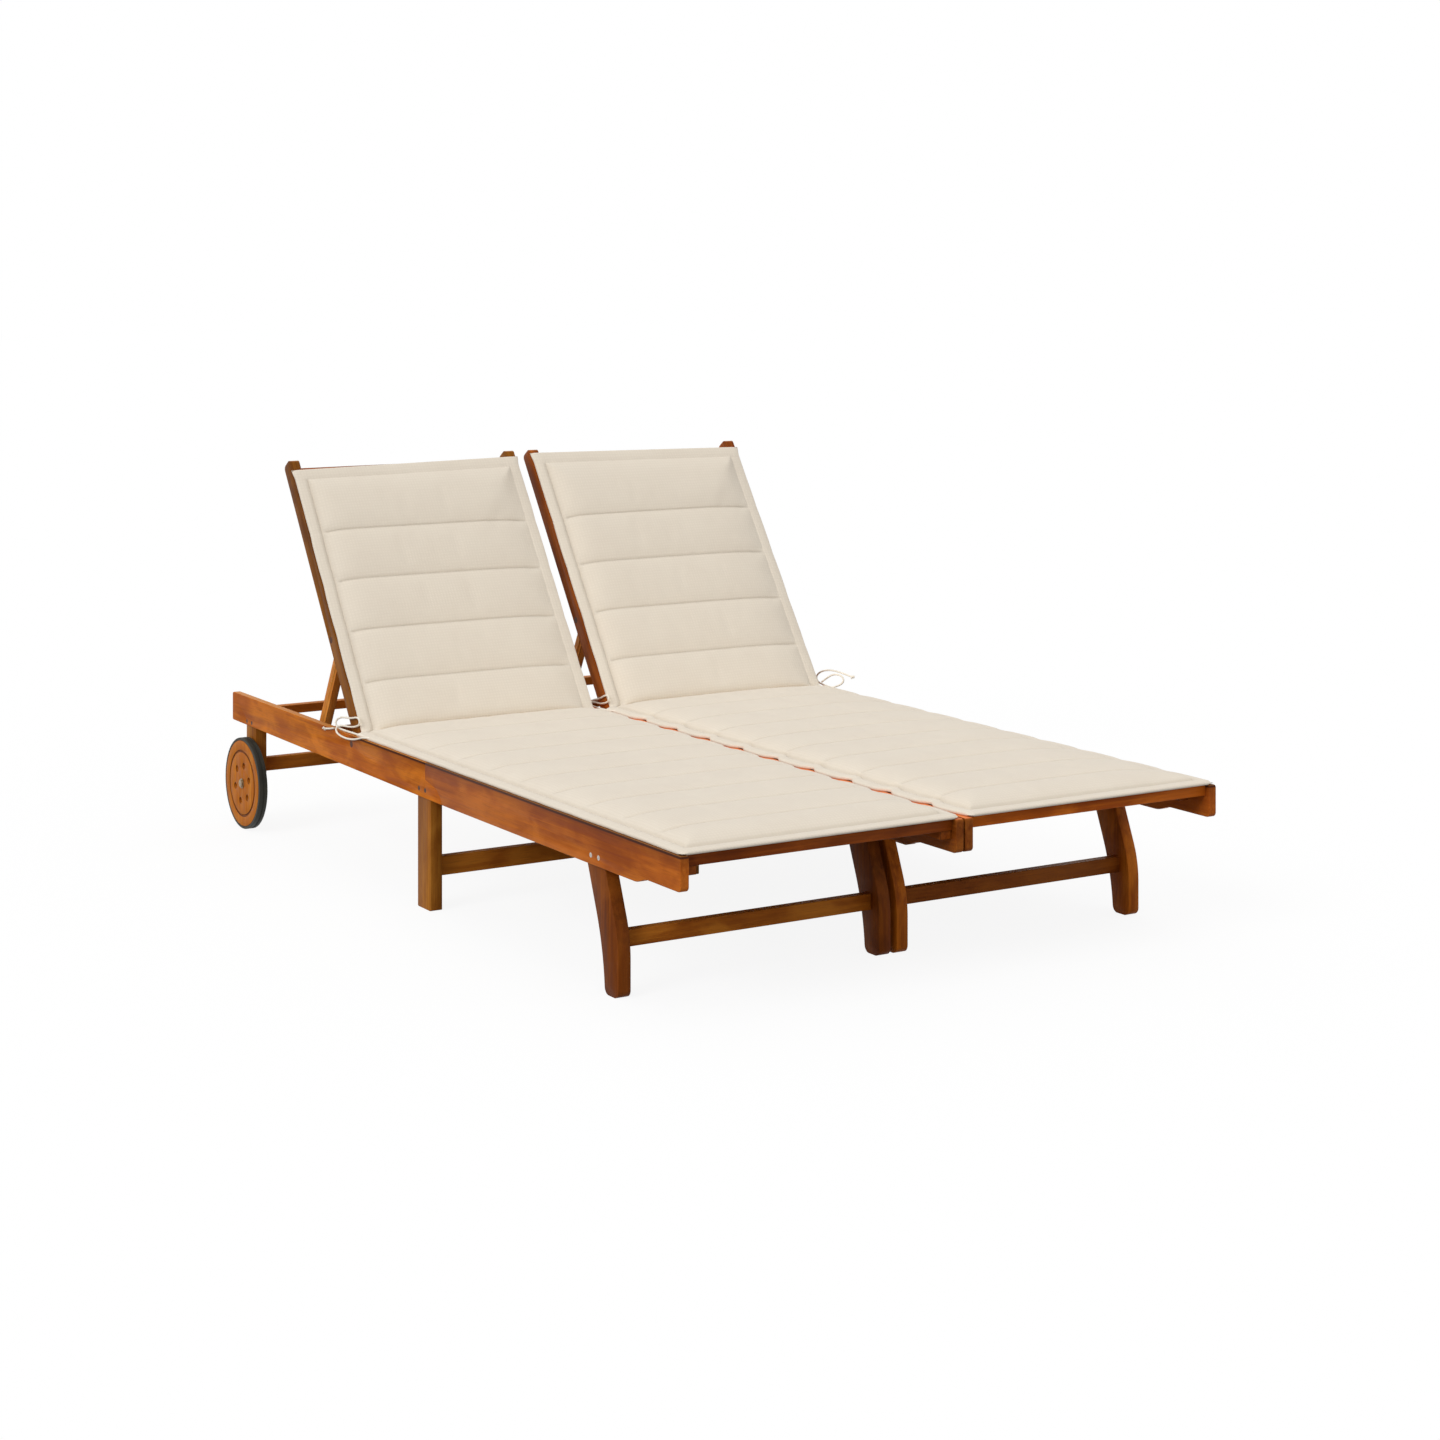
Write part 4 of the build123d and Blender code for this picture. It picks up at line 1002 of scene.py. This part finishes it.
def make_cushions():
    cloth = canvas("cushion_canvas")
    for number, (side_name, side) in enumerate(SIDES.items()):
        mesh = Cushion(side_name, side, number + 1).mesh()
        cushion = bpy.data.objects.new(f"{side_name}_cushion", mesh)
        bpy.context.collection.objects.link(cushion)
        cushion.data.materials.append(cloth)
        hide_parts(f"{side_name}_seat_pad", f"{side_name}_back_pad")
        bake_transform(cushion)


# Ties: node, piece, length in metres, far end, and the solids' own route in millimetres
TIES = (
    ("left_outer_tie", "left_outer_tie_loop", 0.5009, "object", (
        (-586, 290, 297), (-587.5, 332, 296.5), (-589, 370, 296.4), (-590, 400, 296.5), (-590, 424, 299),
        (-586, 437, 307), (-581, 428, 316), (-578.5, 404, 319.5), (-577.6, 374, 321.5), (-577.6, 347, 328),
        (-577.6, 334, 325.5), (-577.6, 332, 315), (-578, 348, 308), (-581, 372, 304), (-587, 392, 304.5),
        (-593, 406, 303), (-597.5, 411, 295), (-598, 398, 287), (-598, 364, 284), (-597, 326, 286),
        (-596, 298, 292), (-593, 280, 297.5), (-586, 264, 297),
    )),
    ("left_outer_tie", "left_outer_tie_tail", 0.0507, "knot", (
        (-594.4, 426, 295), (-594.5, 450, 289.5), (-594.5, 476, 287),
    )),
    ("right_inner_tie", "right_inner_tie_loop", 0.3081, "knot", (
        (8, 285, 297), (1, 308, 296.5), (-1, 345, 296.3), (0, 376, 296.5), (4, 396, 297), (10, 406, 300.5),
        (16, 396, 306), (17.4, 374, 311), (17.4, 348, 322.5), (17.4, 335, 323.5), (17.4, 329, 314.5),
        (17, 342, 306.5), (15, 366, 301.5), (8, 384, 304), (-3, 400, 301), (-7, 424, 296.4),
    )),
    ("right_outer_tie", "right_outer_tie_bow", 0.2498, "knot", (
        (586, 283, 297), (591, 318, 296.6), (594, 354, 297.5), (598, 380, 301), (601, 389, 311),
        (604, 376, 323), (606, 346, 331), (608, 306, 332), (611, 254, 326),
    )),
    ("right_outer_tie", "right_outer_tie_tail", 0.1159, "object", (
        (586, 300, 298), (599, 299, 300), (606, 288, 307), (607, 283, 317), (606, 294, 325.5),
        (602, 318, 325), (598, 340, 314), (592, 352, 303),
    )),
)


TIE_DIAMETER = 0.004
KNOT_TILT = 0.6
# each knot is turned by its cord's length in metres times this, in radians
KNOT_TURN = 20


def make_knot(name, place, turn):
    """A small overhand knot: a round strand along a trefoil curve."""
    strand, size, around, along = 0.0016, 0.0013, 8, 48
    rings = []
    for step in range(along):
        angles = (2 * math.pi * (step + shift) / along for shift in (0, 0.01))
        here, ahead = (
            Vector((math.sin(a) + 2 * math.sin(2 * a), math.cos(a) - 2 * math.cos(2 * a), -math.sin(3 * a)))
            for a in angles
        )
        forward = (ahead - here).normalized()
        across = forward.cross(here).normalized()
        up = across.cross(forward)
        rings.append([
            here * size + (across * math.cos(b) + up * math.sin(b)) * strand
            for b in (2 * math.pi * k / around for k in range(around))
        ])
    centre = Vector(place) / 1000
    spin = Matrix.Rotation(turn, 3, "Z") @ Matrix.Rotation(KNOT_TILT, 3, "X")
    points = [spin @ point + centre for ring in rings for point in ring]
    faces = []
    for i in range(along):
        for k in range(around):
            j, m = (i + 1) % along, (k + 1) % around
            faces.append((i * around + k, j * around + k, j * around + m, i * around + m))
    mesh = bpy.data.meshes.new(name)
    mesh.from_pydata([tuple(point) for point in points], [], faces)
    smooth_shading(mesh)
    mesh.update()
    knot = bpy.data.objects.new(name, mesh)
    bpy.context.collection.objects.link(knot)
    return knot


def make_ties():
    finish = tape("tie_cotton")
    for node, name, length, far_end, route in TIES:
        data = bpy.data.curves.new(name, "CURVE")
        data.dimensions = "3D"
        data.bevel_depth = TIE_DIAMETER / 2
        data.bevel_resolution = 4
        data.use_fill_caps = True
        data.resolution_u = 10
        spline = data.splines.new("NURBS")
        spline.points.add(len(route) - 1)
        for point, place in zip(spline.points, route):
            point.co = (*(value / 1000 for value in place), 1.0)
        spline.order_u = 3
        spline.use_endpoint_u = True
        data.materials.append(finish)
        tie = bpy.data.objects.new(name, data)
        bpy.context.collection.objects.link(tie)
        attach(tie, "frame")
        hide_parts(node)
        if far_end == "knot":
            knot = make_knot(f"{name}_knot", route[-1], length * KNOT_TURN)
            knot.data.materials.append(finish)
            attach(knot, "frame")


make_camera()
make_stage()
dress_nodes()
make_joints()
make_cushions()
make_ties()
